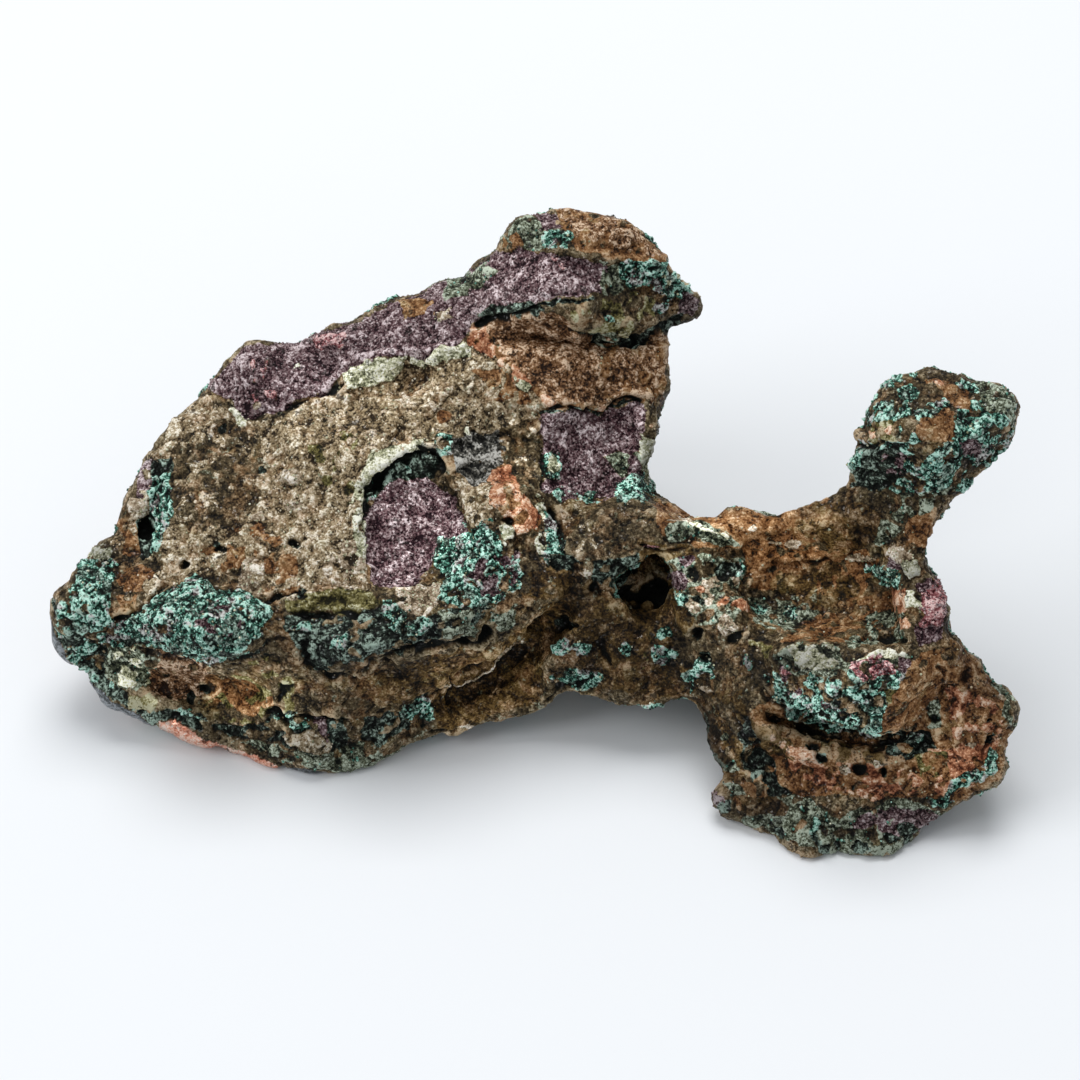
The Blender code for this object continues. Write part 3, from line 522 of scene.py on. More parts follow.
# cracks: width in pixels, depth in mm, points
cracks = [
    (7, 0.9, "476,324 500,320 530,312"),
    (6, 0.6, "572,332 596,340 610,340"),
    (6, 0.6, "632,342 656,334 668,324"),
    (9, 1.5, "372,488 380,474 395,462 415,453 432,456 442,470"),
    (5, 0.8, "368,492 366,520 369,560"),
    (6, 0.9, "541,412 560,407 600,413 625,399 642,401"),
    (5, 0.6, "541,418 542,450 545,490"),
    (9, 1.6, "408,652 430,650 455,645 480,641 487,634"),
    (7, 0.9, "302,640 305,665 330,677 355,680 370,666 395,656 410,650"),
    (5, 0.8, "450,676 453,690 446,702"),
    (5, 0.8, "148,602 158,591 168,583"),
    (7, 1.0, "268,600 285,593 306,597"),
    (7, 1.0, "116,621 130,616 143,606"),
    (6, 1.0, "720,620 728,632 736,635 746,626"),
    (8, 1.2, "590,586 615,593 640,582"),
    (6, 0.8, "558,622 575,628"),
    (6, 0.8, "284,612 310,614 345,612 372,606"),
    (6, 0.5, "150,652 200,668 235,664"),
    (6, 0.4, "208,388 238,414 262,414"),
    (6, 0.7, "285,410 310,400 330,394 340,380"),
    (6, 0.5, "760,694 778,704 800,728 840,740 880,745 915,730"),
    (6, 0.7, "552,510 561,530 564,552 576,568"),
    (6, 0.7, "850,447 880,444 905,447"),
    (6, 0.6, "862,640 905,638"),
    (5, 0.6, "430,735 452,732"),
    (6, 0.7, "545,700 560,692 590,682"),
    (6, 0.8, "270,712 285,722 300,716 330,720 350,722"),
    (5, 0.5, "180,690 200,698 215,690"),
    (6, 0.7, "280,685 290,694 280,700"),
    (6, 0.6, "150,706 165,716 200,726"),
    (6, 0.6, "800,560 830,562"),
    (5, 0.4, "942,670 945,700"),
    (5, 0.4, "730,708 745,735 790,752"),
    (5, 0.5, "640,545 660,552 690,548"),
    (5, 0.6, "600,640 612,665"),
    (4, 0.5, "500,520 515,522"),
]

# ridges: width in pixels, height in mm, points
ridges = [
    (8, 0.5, "440,682 455,681 470,677 482,670 490,661 500,651 512,641 524,634"),
    (8, 0.5, "355,486 375,468 395,454 416,446 436,450"),
    (9, 0.4, "545,402 600,406 625,392 645,394"),
    (9, 0.5, "345,362 385,352 425,352 460,340"),
    (10, 0.5, "560,250 600,256 640,262 668,258"),
    (8, 0.5, "773,655 800,646 840,648 870,654 905,650"),
    (7, 0.4, "742,652 750,662 775,694 800,722"),
    (8, 0.4, "955,640 960,690 958,740"),
    (8, 0.4, "975,665 985,700 982,740"),
    (9, 0.4, "690,521 712,526 740,545"),
    (8, 0.4, "770,735 800,755 850,775 900,782"),
    (8, 0.4, "284,598 330,592 372,594"),
    (10, 0.4, "590,566 640,556"),
    (8, 0.4, "340,655 380,645 400,640"),
]

# pits: across, down, radius in pixels, depth in mm
pits = "102,560,4,0.7 218,547,5,0.8 294,540,6,0.8 184,566,3,0.6 694,636,5,1.0 705,660,4,1.0 812,745,5,0.7 820,758,5,0.7 858,768,5,0.8 885,772,4,0.6 760,743,5,0.6 562,624,7,0.7 205,690,6,0.6 992,742,4,0.6 144,530,7,1.2 152,558,4,0.6 508,521,5,0.7 650,590,12,1.2 880,745,7,0.6 935,718,5,0.6 745,782,4,0.6 730,770,5,0.5 695,575,6,0.6 735,640,5,0.7 560,690,6,0.6 285,690,6,0.6"

# knolls: across, down, half width, half height, height in mm
knolls = "615,312,62,20,0.8 180,620,34,26,0.5 235,612,26,20,0.4 90,600,20,30,0.3 255,575,14,16,0.5 290,477,12,10,0.5 400,600,24,14,0.3 340,640,22,16,0.4 600,570,24,12,0.4 581,648,12,10,0.4 562,648,10,9,0.3 618,642,9,12,0.4 665,636,12,10,0.5 690,672,18,8,0.4 727,606,22,16,0.6 735,572,12,12,0.4 780,612,30,14,0.4 815,665,30,14,0.4 875,668,26,12,0.3 932,610,12,28,0.6 895,553,14,10,0.5 885,572,12,10,0.4 940,388,20,10,0.3 975,440,18,18,0.4 905,425,20,14,0.3 995,402,20,16,0.3 755,730,20,12,0.5 560,590,20,14,0.3 210,690,24,14,0.4 132,680,14,12,0.3 300,742,24,9,0.4 400,690,34,16,0.3 500,500,14,26,0.3 300,500,20,14,0.3 640,275,20,16,0.4 600,230,40,16,0.3 455,290,20,12,0.3 330,350,24,12,0.3"


# broad swells and dips: width in pixels, height in mm, points
swells = [
    (46, 0.75, "140,490 165,445 200,395 238,355"),
    (30, 0.45, "270,342 300,338 330,333"),
    (30, 1.2, "484,262 500,238 516,218"),
    (26, 0.6, "672,262 694,284 696,305"),
    (24, 0.35, "1012,440 1000,462 976,490 955,500"),
    (8, 0.6, "852,432 858,434"),
    (34, 0.7, "50,610 54,630 64,650"),
    (24, 0.7, "58,588 78,566 98,550"),
    (44, 0.95, "70,664 98,694 140,720 190,742 240,756"),
    (40, 1.8, "110,705 130,716 150,727 180,740 205,748"),
    (36, 0.55, "280,770 340,778 400,752 450,742"),
    (22, 0.35, "690,735 706,752 716,770"),
    (22, 0.7, "714,798 728,812"),
    (46, 1.2, "735,815 790,842 840,860 880,854"),
    (34, 1.3, "800,850 840,862 870,858"),
    (34, 0.95, "1012,700 1016,740 1002,775"),
    (20, 0.4, "664,335 668,385"),
    (18, 0.8, "488,338 530,340 590,346"),
    (20, 1.1, "580,326 610,330 650,326"),
    (16, 0.5, "600,350 655,346"),
    (20, 1.1, "770,735 800,748 850,756 900,754"),
    (28, -1.8, "658,478 680,498 702,506"),
    (24, -0.5, "730,508 780,508 835,500"),
    (26, -1.0, "965,628 990,655 1008,684"),
    (24, -1.0, "955,830 985,812"),
    (20, -0.4, "926,530 932,560"),
]


def placesOf(text):
    return np.array([[float(value) for value in item.split(",")] for item in text.split()])


def outlineDistance(places, corners, closed=True):
    # pixels to an outline, less than 0 inside a closed one
    ends = np.roll(corners, -1, 0)
    count = len(corners) if closed else len(corners) - 1
    nearest = np.full(len(places), 1e9)
    inside = np.zeros(len(places), bool)
    for start, end in zip(corners[:count], ends[:count]):
        along = end - start
        share = np.clip((places - start) @ along / max(along @ along, 1e-9), 0.0, 1.0)
        gap = places - start - share[:, None] * along
        nearest = np.minimum(nearest, (gap * gap).sum(1))
        if closed and start[1] != end[1]:
            crosses = (start[1] > places[:, 1]) != (end[1] > places[:, 1])
            meets = start[0] + (places[:, 1] - start[1]) * along[0] / along[1]
            inside ^= crosses & (places[:, 0] < meets)
    return np.sqrt(nearest) * np.where(inside, -1.0, 1.0)


def nearOutline(places, corners, margin):
    low = corners.min(0) - margin
    high = corners.max(0) + margin
    return np.flatnonzero(((places > low) & (places < high)).all(1))


# ---- the crust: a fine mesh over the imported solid

crust = {
    "subdivisions": 2,
    "voxel": 0.27 * mm,
    "evening": 4,
    "cut": 12.4 * mm,
    "halves": (("slabCrust", -1.0), ("lumpCrust", 1.0)),
    "triangles": 194000,
    "seenOffset": 0.35 * mm,
    "restHeight": 0.6,  # mm above the table in which the shape is left alone
}

minerals = ("umber", "sand", "rust", "russet", "olive", "slate", "greygreen", "dark", "cuprite", "pink", "malachite", "calcite", "quartz", "coral", "copper", "polish")


def makeCrustBody():
    node = frame["nodes"]["copper_nugget"]
    piece = bpy.data.objects.new("nuggetCrust", node.data.copy())
    bpy.context.scene.collection.objects.link(piece)
    piece.data.materials.clear()
    selectOnly(piece)
    bpy.ops.object.mode_set(mode="EDIT")
    bpy.ops.mesh.select_all(action="SELECT")
    bpy.ops.mesh.remove_doubles(threshold=1e-6)
    bpy.ops.object.mode_set(mode="OBJECT")
    applyModifier(piece, "SUBSURF", levels=crust["subdivisions"], render_levels=crust["subdivisions"])
    applyModifier(piece, "REMESH", mode="VOXEL", voxel_size=crust["voxel"])
    applyModifier(piece, "SMOOTH", factor=0.5, iterations=crust["evening"])
    return piece


def seenShare(piece, points, normals, pairs):
    # 1 where the camera sees the surface, fading out just past its edges
    eye, _, _ = viewAxes()
    tree = BVHTree.FromObject(piece, bpy.context.evaluated_depsgraph_get())
    starts = points + normals * crust["seenOffset"]
    ways = eye - starts
    ways /= np.linalg.norm(ways, axis=1)[:, None]
    facing = (normals * ways).sum(1)
    seen = np.zeros(len(points))
    for index in np.flatnonzero(facing > 0.02):
        if tree.ray_cast(Vector(starts[index]), Vector(ways[index]))[0] is None:
            seen[index] = 1.0
    return np.clip(spreadOut(seen, pairs, 8) * 3.0, 0.0, 1.0)


def paintMinerals(points, normals, pixels, seen):
    # share of each mineral at each point, points in mm
    bends = np.array([noise.noise_vector(place) for place in (points / 2.2).tolist()])
    frays = np.array([noise.noise_vector(place) for place in (points / 0.8 + 31.0).tolist()])
    mottle = 0.5 + 0.85 * grainField(points, 1.5, 7.0) + 0.35 * grainField(points, 0.7, 3.0)
    places = pixels + 5.0 * bends[:, :2] + 3.0 * frays[:, :2]
    steady = pixels + 1.5 * frays[:, :2]
    share = {name: np.zeros(len(points)) for name in minerals}

    # the sides out of view: the same minerals, strewn at random
    broad = [grainField(points, size, shift) for size, shift in ((9.0, 1.0), (8.0, 11.0), (10.0, 21.0), (7.0, 41.0), (6.0, 51.0), (11.0, 61.0))]
    strewn = (("rust", broad[0], 0.02), ("sand", broad[1], 0.12), ("greygreen", broad[2], 0.10), ("cuprite", broad[3], 0.20), ("malachite", broad[4], 0.12), ("dark", broad[5], 0.22))
    for name, field, level in strewn:
        amount = step(field + 0.25 * (mottle - 0.5), level, level + 0.08)
        for other in minerals:
            share[other] *= 1.0 - amount
        share[name] += amount
    belly = step(-normals[:, 2], 0.25, 0.5) * step(-points[:, 0], 14.0, 20.0) * step(points[:, 2], 0.4, 1.2)
    worn = step(grainField(points, 6.0, 71.0) + 0.35, -0.1, 0.15)
    for name, amount in (("polish", belly * worn), ("copper", belly * worn * step(grainField(points, 4.0, 81.0), 0.12, 0.2))):
        for other in minerals:
            share[other] *= 1.0 - amount
        share[name] += amount
    for name in minerals:
        share[name] *= 1.0 - seen

    def lay(name, chosen, amount):
        amount = amount * seen[chosen]
        for other in minerals:
            share[other][chosen] *= 1.0 - amount
        if name != "brown":
            share[name][chosen] += amount

    for name, cover, soft, outline in patches:
        corners = placesOf(outline)
        ground = steady if name in ("polish", "copper") else places
        chosen = nearOutline(ground, corners, soft)
        distance = outlineDistance(ground[chosen], corners)
        amount = step(-distance, -0.5 * soft, 0.5 * soft)
        if cover < 1.0:
            level = cover * 1.1 - 0.05
            amount = amount * step(level - mottle[chosen], -0.08, 0.08)
        lay(name, chosen, amount)
    for name, text in spots.items():
        for across, down, halfWidth, halfHeight in placesOf(text):
            away = np.hypot((places[:, 0] - across) / halfWidth, (places[:, 1] - down) / halfHeight)
            chosen = np.flatnonzero(away < 1.4)
            lay(name, chosen, step(1.2 - away[chosen], 0.0, 0.4))
    for name, width, line in veins:
        corners = placesOf(line)
        chosen = nearOutline(places, corners, width)
        distance = outlineDistance(places[chosen], corners, closed=False)
        lay(name, chosen, step(width - distance, 0.3 * width, 0.7 * width))
    return share


def paintLightShadeAndTone(pixels, seen):
    # painted light and shade, partly regional tone: how light each point is painted against its mineral, 1 where
    # nothing is set
    tone = np.ones(len(pixels))
    for factor, soft, outline in tones:
        corners = placesOf(outline)
        chosen = nearOutline(pixels, corners, soft)
        distance = outlineDistance(pixels[chosen], corners)
        amount = step(-distance, -soft, 0.3 * soft) * seen[chosen]
        tone[chosen] *= 1.0 + (factor - 1.0) * amount
    return tone


def swellSurface(pixels):
    # the broad swells and dips, in mm
    lift = np.zeros(len(pixels))
    for width, high, line in swells:
        corners = placesOf(line)
        chosen = nearOutline(pixels, corners, width)
        distance = outlineDistance(pixels[chosen], corners, closed=False)
        lift[chosen] += step(width - distance, 0.0, 0.8 * width) * high
    return lift


def liftSurface(points, pixels, seen, share):
    # how far each point moves outwards, in mm, and how deep it lies in a crack
    fray = np.array([noise.noise_vector(place)[:] for place in (points / 1.3 + 5.0).tolist()])
    places = pixels + 5.0 * fray[:, :2]
    worn = np.clip(share["polish"] + share["copper"], 0.0, 1.0)
    brown = np.clip(1.0 - sum(share.values()), 0.0, 1.0)
    warped = points + 0.5 * fray
    broad = grainField(points, 5.5, 2.0)
    middle = grainField(points, 2.4, 4.0)
    small = grainField(points, 1.1, 6.0)
    tiny = grainField(points, 0.6, 7.0)
    blocks, blockGaps = brokenField(warped, 3.4, 8.0)
    chips, chipGaps = brokenField(warped, 1.5, 9.0)
    crumbs, crumbGaps = brokenField(points, 0.8, 10.0)
    folds = creaseField(warped, 3.0, 12.0)
    lift = 0.24 * broad + 0.10 * middle + 0.07 * small + 0.06 * tiny + 0.26 * blocks - 0.10 * blockGaps
    lift += share["malachite"] * (0.26 + 0.30 * chips - 0.14 * chipGaps + 0.30 * crumbs - 0.16 * crumbGaps)
    lift += share["greygreen"] * (0.10 + 0.20 * chips - 0.08 * chipGaps + 0.10 * crumbs - 0.06 * crumbGaps)
    lift += share["calcite"] * (0.22 + 0.22 * chips + 0.10 * crumbs)
    lift += share["cuprite"] * (0.10 * chips + 0.14 * crumbs - 0.05 * crumbGaps - 0.16)
    lift += share["pink"] * (0.20 + 0.25 * chips + 0.15 * crumbs)
    lift += share["sand"] * (0.10 * chips + 0.06 * crumbs + 0.06 * tiny - 0.28 * step(middle + 0.6 * small, 0.30, 0.7))
    lift += share["quartz"] * (0.10 + 0.25 * chips)
    lift += share["rust"] * (0.12 * folds + 0.10 * chips + 0.05 * crumbs + 0.05 * tiny)
    lift += share["umber"] * (0.18 * folds + 0.12 * chips + 0.05 * crumbs)
    lift += share["russet"] * (0.10 * crumbs + 0.08 * tiny - 0.12 * broad - 0.16 * blocks + 0.05 * blockGaps)
    lift += share["slate"] * (0.20 * blocks + 0.35 * chips - 0.12 * chipGaps)
    lift += share["olive"] * (0.18 * folds + 0.14 * chips + 0.08 * crumbs)
    lift += share["dark"] * (0.30 * chips - 0.22 * chipGaps + 0.20 * crumbs - 0.26)
    lift += share["coral"] * (0.10 + 0.20 * chips)
    lift += brown * (0.20 * folds + 0.14 * chips + 0.06 * crumbs - 0.24 * step(middle + 0.5 * small, 0.35, 0.65))
    uneven = 0.5 + 1.2 * (grainField(points, 1.9, 15.0) + 0.3)
    depth = np.zeros(len(points))
    for width, deep, line in cracks:
        corners = placesOf(line)
        chosen = nearOutline(places, corners, 2.0 * width)
        distance = outlineDistance(places[chosen], corners, closed=False)
        wide = 0.8 * width * np.clip(uneven[chosen], 0.15, 1.5)
        amount = step(1.0 - distance / wide, 0.0, 1.0) * np.clip(uneven[chosen], 0.0, 1.1) * seen[chosen]
        depth[chosen] = np.maximum(depth[chosen], amount * deep)
    for across, down, radius, deep in placesOf(pits):
        away = np.hypot(places[:, 0] - across, 1.25 * (places[:, 1] - down)) / radius
        chosen = np.flatnonzero(away < 2.2)
        amount = step(1.5 * np.clip(uneven[chosen] + 0.2, 0.4, 1.4) - away[chosen], 0.0, 0.9) * seen[chosen]
        depth[chosen] = np.maximum(depth[chosen], amount * deep)
    for width, high, line in ridges:
        corners = placesOf(line)
        chosen = nearOutline(places, corners, width)
        distance = outlineDistance(places[chosen], corners, closed=False)
        lift[chosen] += step(width - distance, 0.0, width) * high * seen[chosen]
    for across, down, halfWidth, halfHeight, high in placesOf(knolls):
        away = np.hypot((places[:, 0] - across) / halfWidth, (places[:, 1] - down) / halfHeight)
        chosen = np.flatnonzero(away < 1.2)
        lift[chosen] += step(1.2 - away[chosen], 0.0, 1.0) * high * seen[chosen]
    lift = lift * (1.0 - 0.92 * worn) - depth
    return lift, depth


def cavityOf(points, normals, pairs):
    # 0.5 on flat ground, towards 1 in hollows and towards 0 on edges
    near = np.stack([spreadOut(points[:, axis], pairs, 3) for axis in range(3)], 1)
    wide = np.stack([spreadOut(points[:, axis], pairs, 24) for axis in range(3)], 1)
    fine = ((near - points) * normals).sum(1)
    coarse = ((wide - points) * normals).sum(1)
    return np.clip(0.5 + 3.0 * fine + 1.6 * coarse, 0.0, 1.0)


def makeCrust():
    # the whole surface: moved, painted and ready to be cut in two
    piece = makeCrustBody()
    mesh = piece.data
    pairs = readPairs(mesh)
    points = readVectors(mesh.vertices, "co")
    normals = readVectors(mesh.vertices, "normal")
    print("crust body:", len(points), "points")
    seen = seenShare(piece, points, normals, pairs)
    evened = np.stack([spreadOut(normals[:, axis], pairs, 4) for axis in range(3)], 1)
    evened /= np.maximum(np.linalg.norm(evened, axis=1), 1e-9)[:, None]
    held = step(points[:, 2] / mm, 0.05, crust["restHeight"])
    swollen = points + evened * (swellSurface(toPixels(points)) * held * mm)[:, None]
    pixels = toPixels(swollen)
    share = paintMinerals(points / mm, normals, pixels, seen)
    lift, depth = liftSurface(points / mm, pixels, seen, share)
    print("crust painted")
    moved = swollen + evened * (lift * held * mm)[:, None]
    moved[:, 2] = np.where(points[:, 2] > 1e-5, np.maximum(moved[:, 2], 2e-5), points[:, 2])
    mesh.vertices.foreach_set("co", np.ascontiguousarray(moved, np.float32).ravel())
    mesh.update()
    for name, values in share.items():
        storeValues(mesh, name, values)
    # crack and pit depth, which the material paints as shade
    storeValues(mesh, "crack", np.clip(depth * 1.2, 0.0, 1.0))
    storeValues(mesh, "cavity", cavityOf(moved / mm, readVectors(mesh.vertices, "normal"), pairs))
    storeValues(mesh, "seen", seen)
    frays = np.array([noise.noise_vector(place)[:] for place in (points / mm / 1.6 + 17.0).tolist()])
    storeValues(mesh, "paintedLightAndTone", paintLightShadeAndTone(pixels + 6.0 * frays[:, :2], seen))
    return piece


def cutHalf(whole, name, side):
    # one half of the surface, closed at the cut and thinned where it isn't in view
    piece = whole.copy()
    piece.data = whole.data.copy()
    piece.name = name
    bpy.context.scene.collection.objects.link(piece)
    selectOnly(piece)
    bpy.ops.object.mode_set(mode="EDIT")
    bpy.ops.mesh.select_all(action="SELECT")
    bpy.ops.mesh.bisect(plane_co=(crust["cut"], 0.0, 0.0), plane_no=(-side, 0.0, 0.0), use_fill=True, clear_outer=True, threshold=1e-7)
    bpy.ops.mesh.select_all(action="SELECT")
    bpy.ops.mesh.quads_convert_to_tris()
    bpy.ops.object.mode_set(mode="OBJECT")
    mesh = piece.data
    count = len(mesh.polygons)
    seen = valuesOf(mesh, "seen")
    onCut = np.abs(readVectors(mesh.vertices, "co")[:, 0] - crust["cut"]) < 1e-6
    group = piece.vertex_groups.new(name="thin")
    for level in range(11):
        chosen = np.flatnonzero((np.round(seen * 10) == level) & ~onCut)
        group.add(chosen.tolist(), 1.0 - 0.085 * level, "REPLACE")
    ratio = min(1.0, crust["triangles"] / count)
    applyModifier(piece, "DECIMATE", ratio=ratio, vertex_group="thin", vertex_group_factor=1.0, use_collapse_triangulate=True)
    piece.vertex_groups.clear()
    mesh = piece.data
    mesh.shade_smooth()
    onCut = np.abs(readVectors(mesh.vertices, "co")[:, 0] - crust["cut"]) < 1e-6
    sharp = onCut[readPairs(mesh)].all(1)
    mesh.edges.foreach_set("use_edge_sharp", sharp)
    mesh.update()
    print(name, count, "faces, thinned to", len(mesh.polygons))
    return piece


# ---- grains that stand on the crust

grains = {
    "malachiteDruse": {"on": (("malachite", 1.0), ("greygreen", 0.25)), "count": 9000, "size": (0.05, 0.15), "sides": "ico", "flatness": 0.8, "seed": 11},
    "cupriteCrystals": {"on": (("cuprite", 1.0), ("pink", 1.3)), "count": 8000, "size": (0.04, 0.11), "sides": "cube", "flatness": 1.0, "seed": 12},
    "sandGrains": {"on": (("sand", 1.0), ("quartz", 0.8), ("brown", 0.05), ("rust", 0.05)), "count": 5500, "size": (0.04, 0.12), "sides": "ico", "flatness": 0.75, "seed": 13},
    "paleGrains": {"on": (("calcite", 1.0), ("quartz", 1.0), ("malachite", 0.15), ("sand", 0.10), ("rust", 0.04)), "count": 3000, "size": (0.04, 0.13), "sides": "ico", "flatness": 0.8, "seed": 14},
}


def makeStones(kind, variants, seed):
    # a few grain shapes, each about 1 across
    shapes = []
    for number in range(variants):
        bpy.ops.object.select_all(action="DESELECT")
        if kind == "cube":
            bpy.ops.mesh.primitive_cube_add(size=1.1)
        else:
            bpy.ops.mesh.primitive_ico_sphere_add(subdivisions=1, radius=0.62)
        stone = bpy.context.active_object
        bpy.ops.object.mode_set(mode="EDIT")
        bpy.ops.mesh.select_all(action="SELECT")
        bpy.ops.transform.vertex_random(offset=0.06 if kind == "cube" else 0.16, seed=seed + number)
        bpy.ops.mesh.quads_convert_to_tris()
        bpy.ops.mesh.normals_make_consistent(inside=False)
        bpy.ops.object.mode_set(mode="OBJECT")
        corners = readVectors(stone.data.vertices, "co")
        faces = np.array([list(polygon.vertices) for polygon in stone.data.polygons])
        shapes.append((corners, faces))
        bpy.data.objects.remove(stone)
    return shapes


def turnsOf(random, count):
    # random rotation matrices
    four = random.normal(size=(count, 4))
    four /= np.linalg.norm(four, axis=1)[:, None]
    w, x, y, z = four.T
    rows = np.stack(
        (
            np.stack((1 - 2 * (y * y + z * z), 2 * (x * y - z * w), 2 * (x * z + y * w)), 1),
            np.stack((2 * (x * y + z * w), 1 - 2 * (x * x + z * z), 2 * (y * z - x * w)), 1),
            np.stack((2 * (x * z - y * w), 2 * (y * z + x * w), 1 - 2 * (x * x + y * y)), 1),
        ),
        1,
    )
    return rows


def scatterGrains(name, whole, share):
    settings = grains[name]
    random = np.random.default_rng(settings["seed"])
    mesh = whole.data
    corners = np.empty(len(mesh.loop_triangles) * 3, np.int32)
    mesh.loop_triangles.foreach_get("vertices", corners)
    corners = corners.reshape(-1, 3)
    points = readVectors(mesh.vertices, "co")
    normals = readVectors(mesh.vertices, "normal")
    brown = np.clip(1.0 - sum(share.values()), 0.0, 1.0)
    wish = sum(weight * (brown if mineral == "brown" else share[mineral]) for mineral, weight in settings["on"])
    sides = points[corners]
    area = np.linalg.norm(np.cross(sides[:, 1] - sides[:, 0], sides[:, 2] - sides[:, 0]), axis=1)
    weight = area * wish[corners].mean(1) * (sides[:, :, 2].min(1) > 0.8 * mm)
    weight /= weight.sum()
    chosen = random.choice(len(corners), settings["count"], p=weight)
    parts = random.dirichlet((1.0, 1.0, 1.0), settings["count"])
    places = (sides[chosen] * parts[:, :, None]).sum(1)
    outwards = (normals[corners[chosen]] * parts[:, :, None]).sum(1)
    outwards /= np.linalg.norm(outwards, axis=1)[:, None]
    low, high = settings["size"]
    sizes = (low + (high - low) * random.power(0.45, settings["count"])) * mm
    tones = random.random(settings["count"])
    turns = turnsOf(random, settings["count"])
    stones = makeStones(settings["sides"], 5, settings["seed"])
    kinds = random.integers(0, len(stones), settings["count"])
    allPoints, allFaces, allTones, used = [], [], [], 0
    for kind, (shape, faces) in enumerate(stones):
        picked = np.flatnonzero(kinds == kind)
        turned = np.einsum("nij,vj->nvi", turns[picked], shape)
        rise = (turned * outwards[picked][:, None, :]).sum(2)
        turned -= (1.0 - settings["flatness"]) * rise[:, :, None] * outwards[picked][:, None, :]
        placed = places[picked][:, None, :] + turned * (2.0 * sizes[picked])[:, None, None]
        placed += (0.25 * sizes[picked])[:, None, None] * outwards[picked][:, None, :]
        starts = used + np.arange(len(picked)) * len(shape)
        allPoints.append(placed.reshape(-1, 3))
        allFaces.append((faces[None] + starts[:, None, None]).reshape(-1, 3))
        allTones.append(np.repeat(tones[picked], len(shape)))
        used += len(picked) * len(shape)
    grainMesh = meshFrom(name, np.concatenate(allPoints), np.concatenate(allFaces))
    storeValues(grainMesh, "tone", np.concatenate(allTones))
    piece = bpy.data.objects.new(name, grainMesh)
    bpy.context.scene.collection.objects.link(piece)
    print(name, len(grainMesh.polygons), "faces")
    return piece


# ---- materials


def addNode(tree, kind, inputs=None, **settings):
    node = tree.nodes.new(kind)
    for name, value in settings.items():
        setattr(node, name, value)
    for socket, value in (inputs or {}).items():
        if isinstance(value, bpy.types.NodeSocket):
            tree.links.new(value, node.inputs[socket])
        else:
            node.inputs[socket].default_value = value
    return node


def sumOf(tree, first, second, kind="ADD"):
    return addNode(tree, "ShaderNodeMath", {0: first, 1: second}, operation=kind).outputs[0]


def scaled(tree, value, factor, offset=0.0):
    node = addNode(tree, "ShaderNodeMath", {0: value, 1: factor, 2: offset}, operation="MULTIPLY_ADD")
    return node.outputs[0]


def ranged(tree, value, low, high, start=0.0, end=1.0):
    node = addNode(tree, "ShaderNodeMapRange", {"Value": value, "From Min": low, "From Max": high, "To Min": start, "To Max": end})
    node.clamp = True
    return node.outputs["Result"]


def mixed(tree, share, first, second, kind="MIX"):
    node = addNode(tree, "ShaderNodeMix", {0: share, 6: first, 7: second}, data_type="RGBA", blend_type=kind)
    return node.outputs[2]


def rampOf(tree, value, stops):
    node = addNode(tree, "ShaderNodeValToRGB", {"Fac": value})
    elements = node.color_ramp.elements
    while len(elements) < len(stops):
        elements.new(0.5)
    for element, (place, color) in zip(elements, stops):
        element.position = place
        element.color = (*color, 1.0)
    return node.outputs["Color"]


def makeSpeckleGroup():
    # shared grain: fine noise, coarse noise, patches and small crystal cells
    tree = bpy.data.node_groups.new("mineralSpeckle", "ShaderNodeTree")
    tree.interface.new_socket(name="Vector", in_out="INPUT", socket_type="NodeSocketVector")
    for name in ("Fine", "Coarse", "Patch", "Cell", "Facet", "Fleck", "Blotch"):
        tree.interface.new_socket(name=name, in_out="OUTPUT", socket_type="NodeSocketFloat")
    start = tree.nodes.new("NodeGroupInput")
    end = tree.nodes.new("NodeGroupOutput")
    vector = start.outputs["Vector"]
    fine = addNode(tree, "ShaderNodeTexNoise", {"Vector": vector, "Scale": 4200.0, "Detail": 3.0, "Roughness": 0.7})
    coarse = addNode(tree, "ShaderNodeTexNoise", {"Vector": vector, "Scale": 700.0, "Detail": 5.0, "Roughness": 0.68, "Distortion": 0.6})
    patch = addNode(tree, "ShaderNodeTexNoise", {"Vector": vector, "Scale": 260.0, "Detail": 4.0, "Roughness": 0.6})
    cells = addNode(tree, "ShaderNodeTexVoronoi", {"Vector": vector, "Scale": 4600.0, "Randomness": 1.0}, feature="F1")
    split = addNode(tree, "ShaderNodeSeparateColor", {"Color": cells.outputs["Color"]})
    fleck = addNode(tree, "ShaderNodeTexNoise", {"Vector": vector, "Scale": 640.0, "Detail": 2.0, "Roughness": 0.7})
    blotch = addNode(tree, "ShaderNodeTexNoise", {"Vector": vector, "Scale": 330.0, "Detail": 3.0, "Roughness": 0.65})
    tree.links.new(fleck.outputs["Fac"], end.inputs["Fleck"])
    tree.links.new(blotch.outputs["Fac"], end.inputs["Blotch"])
    tree.links.new(fine.outputs["Fac"], end.inputs["Fine"])
    tree.links.new(coarse.outputs["Fac"], end.inputs["Coarse"])
    tree.links.new(patch.outputs["Fac"], end.inputs["Patch"])
    tree.links.new(split.outputs["Red"], end.inputs["Cell"])
    tree.links.new(cells.outputs["Distance"], end.inputs["Facet"])
    return tree


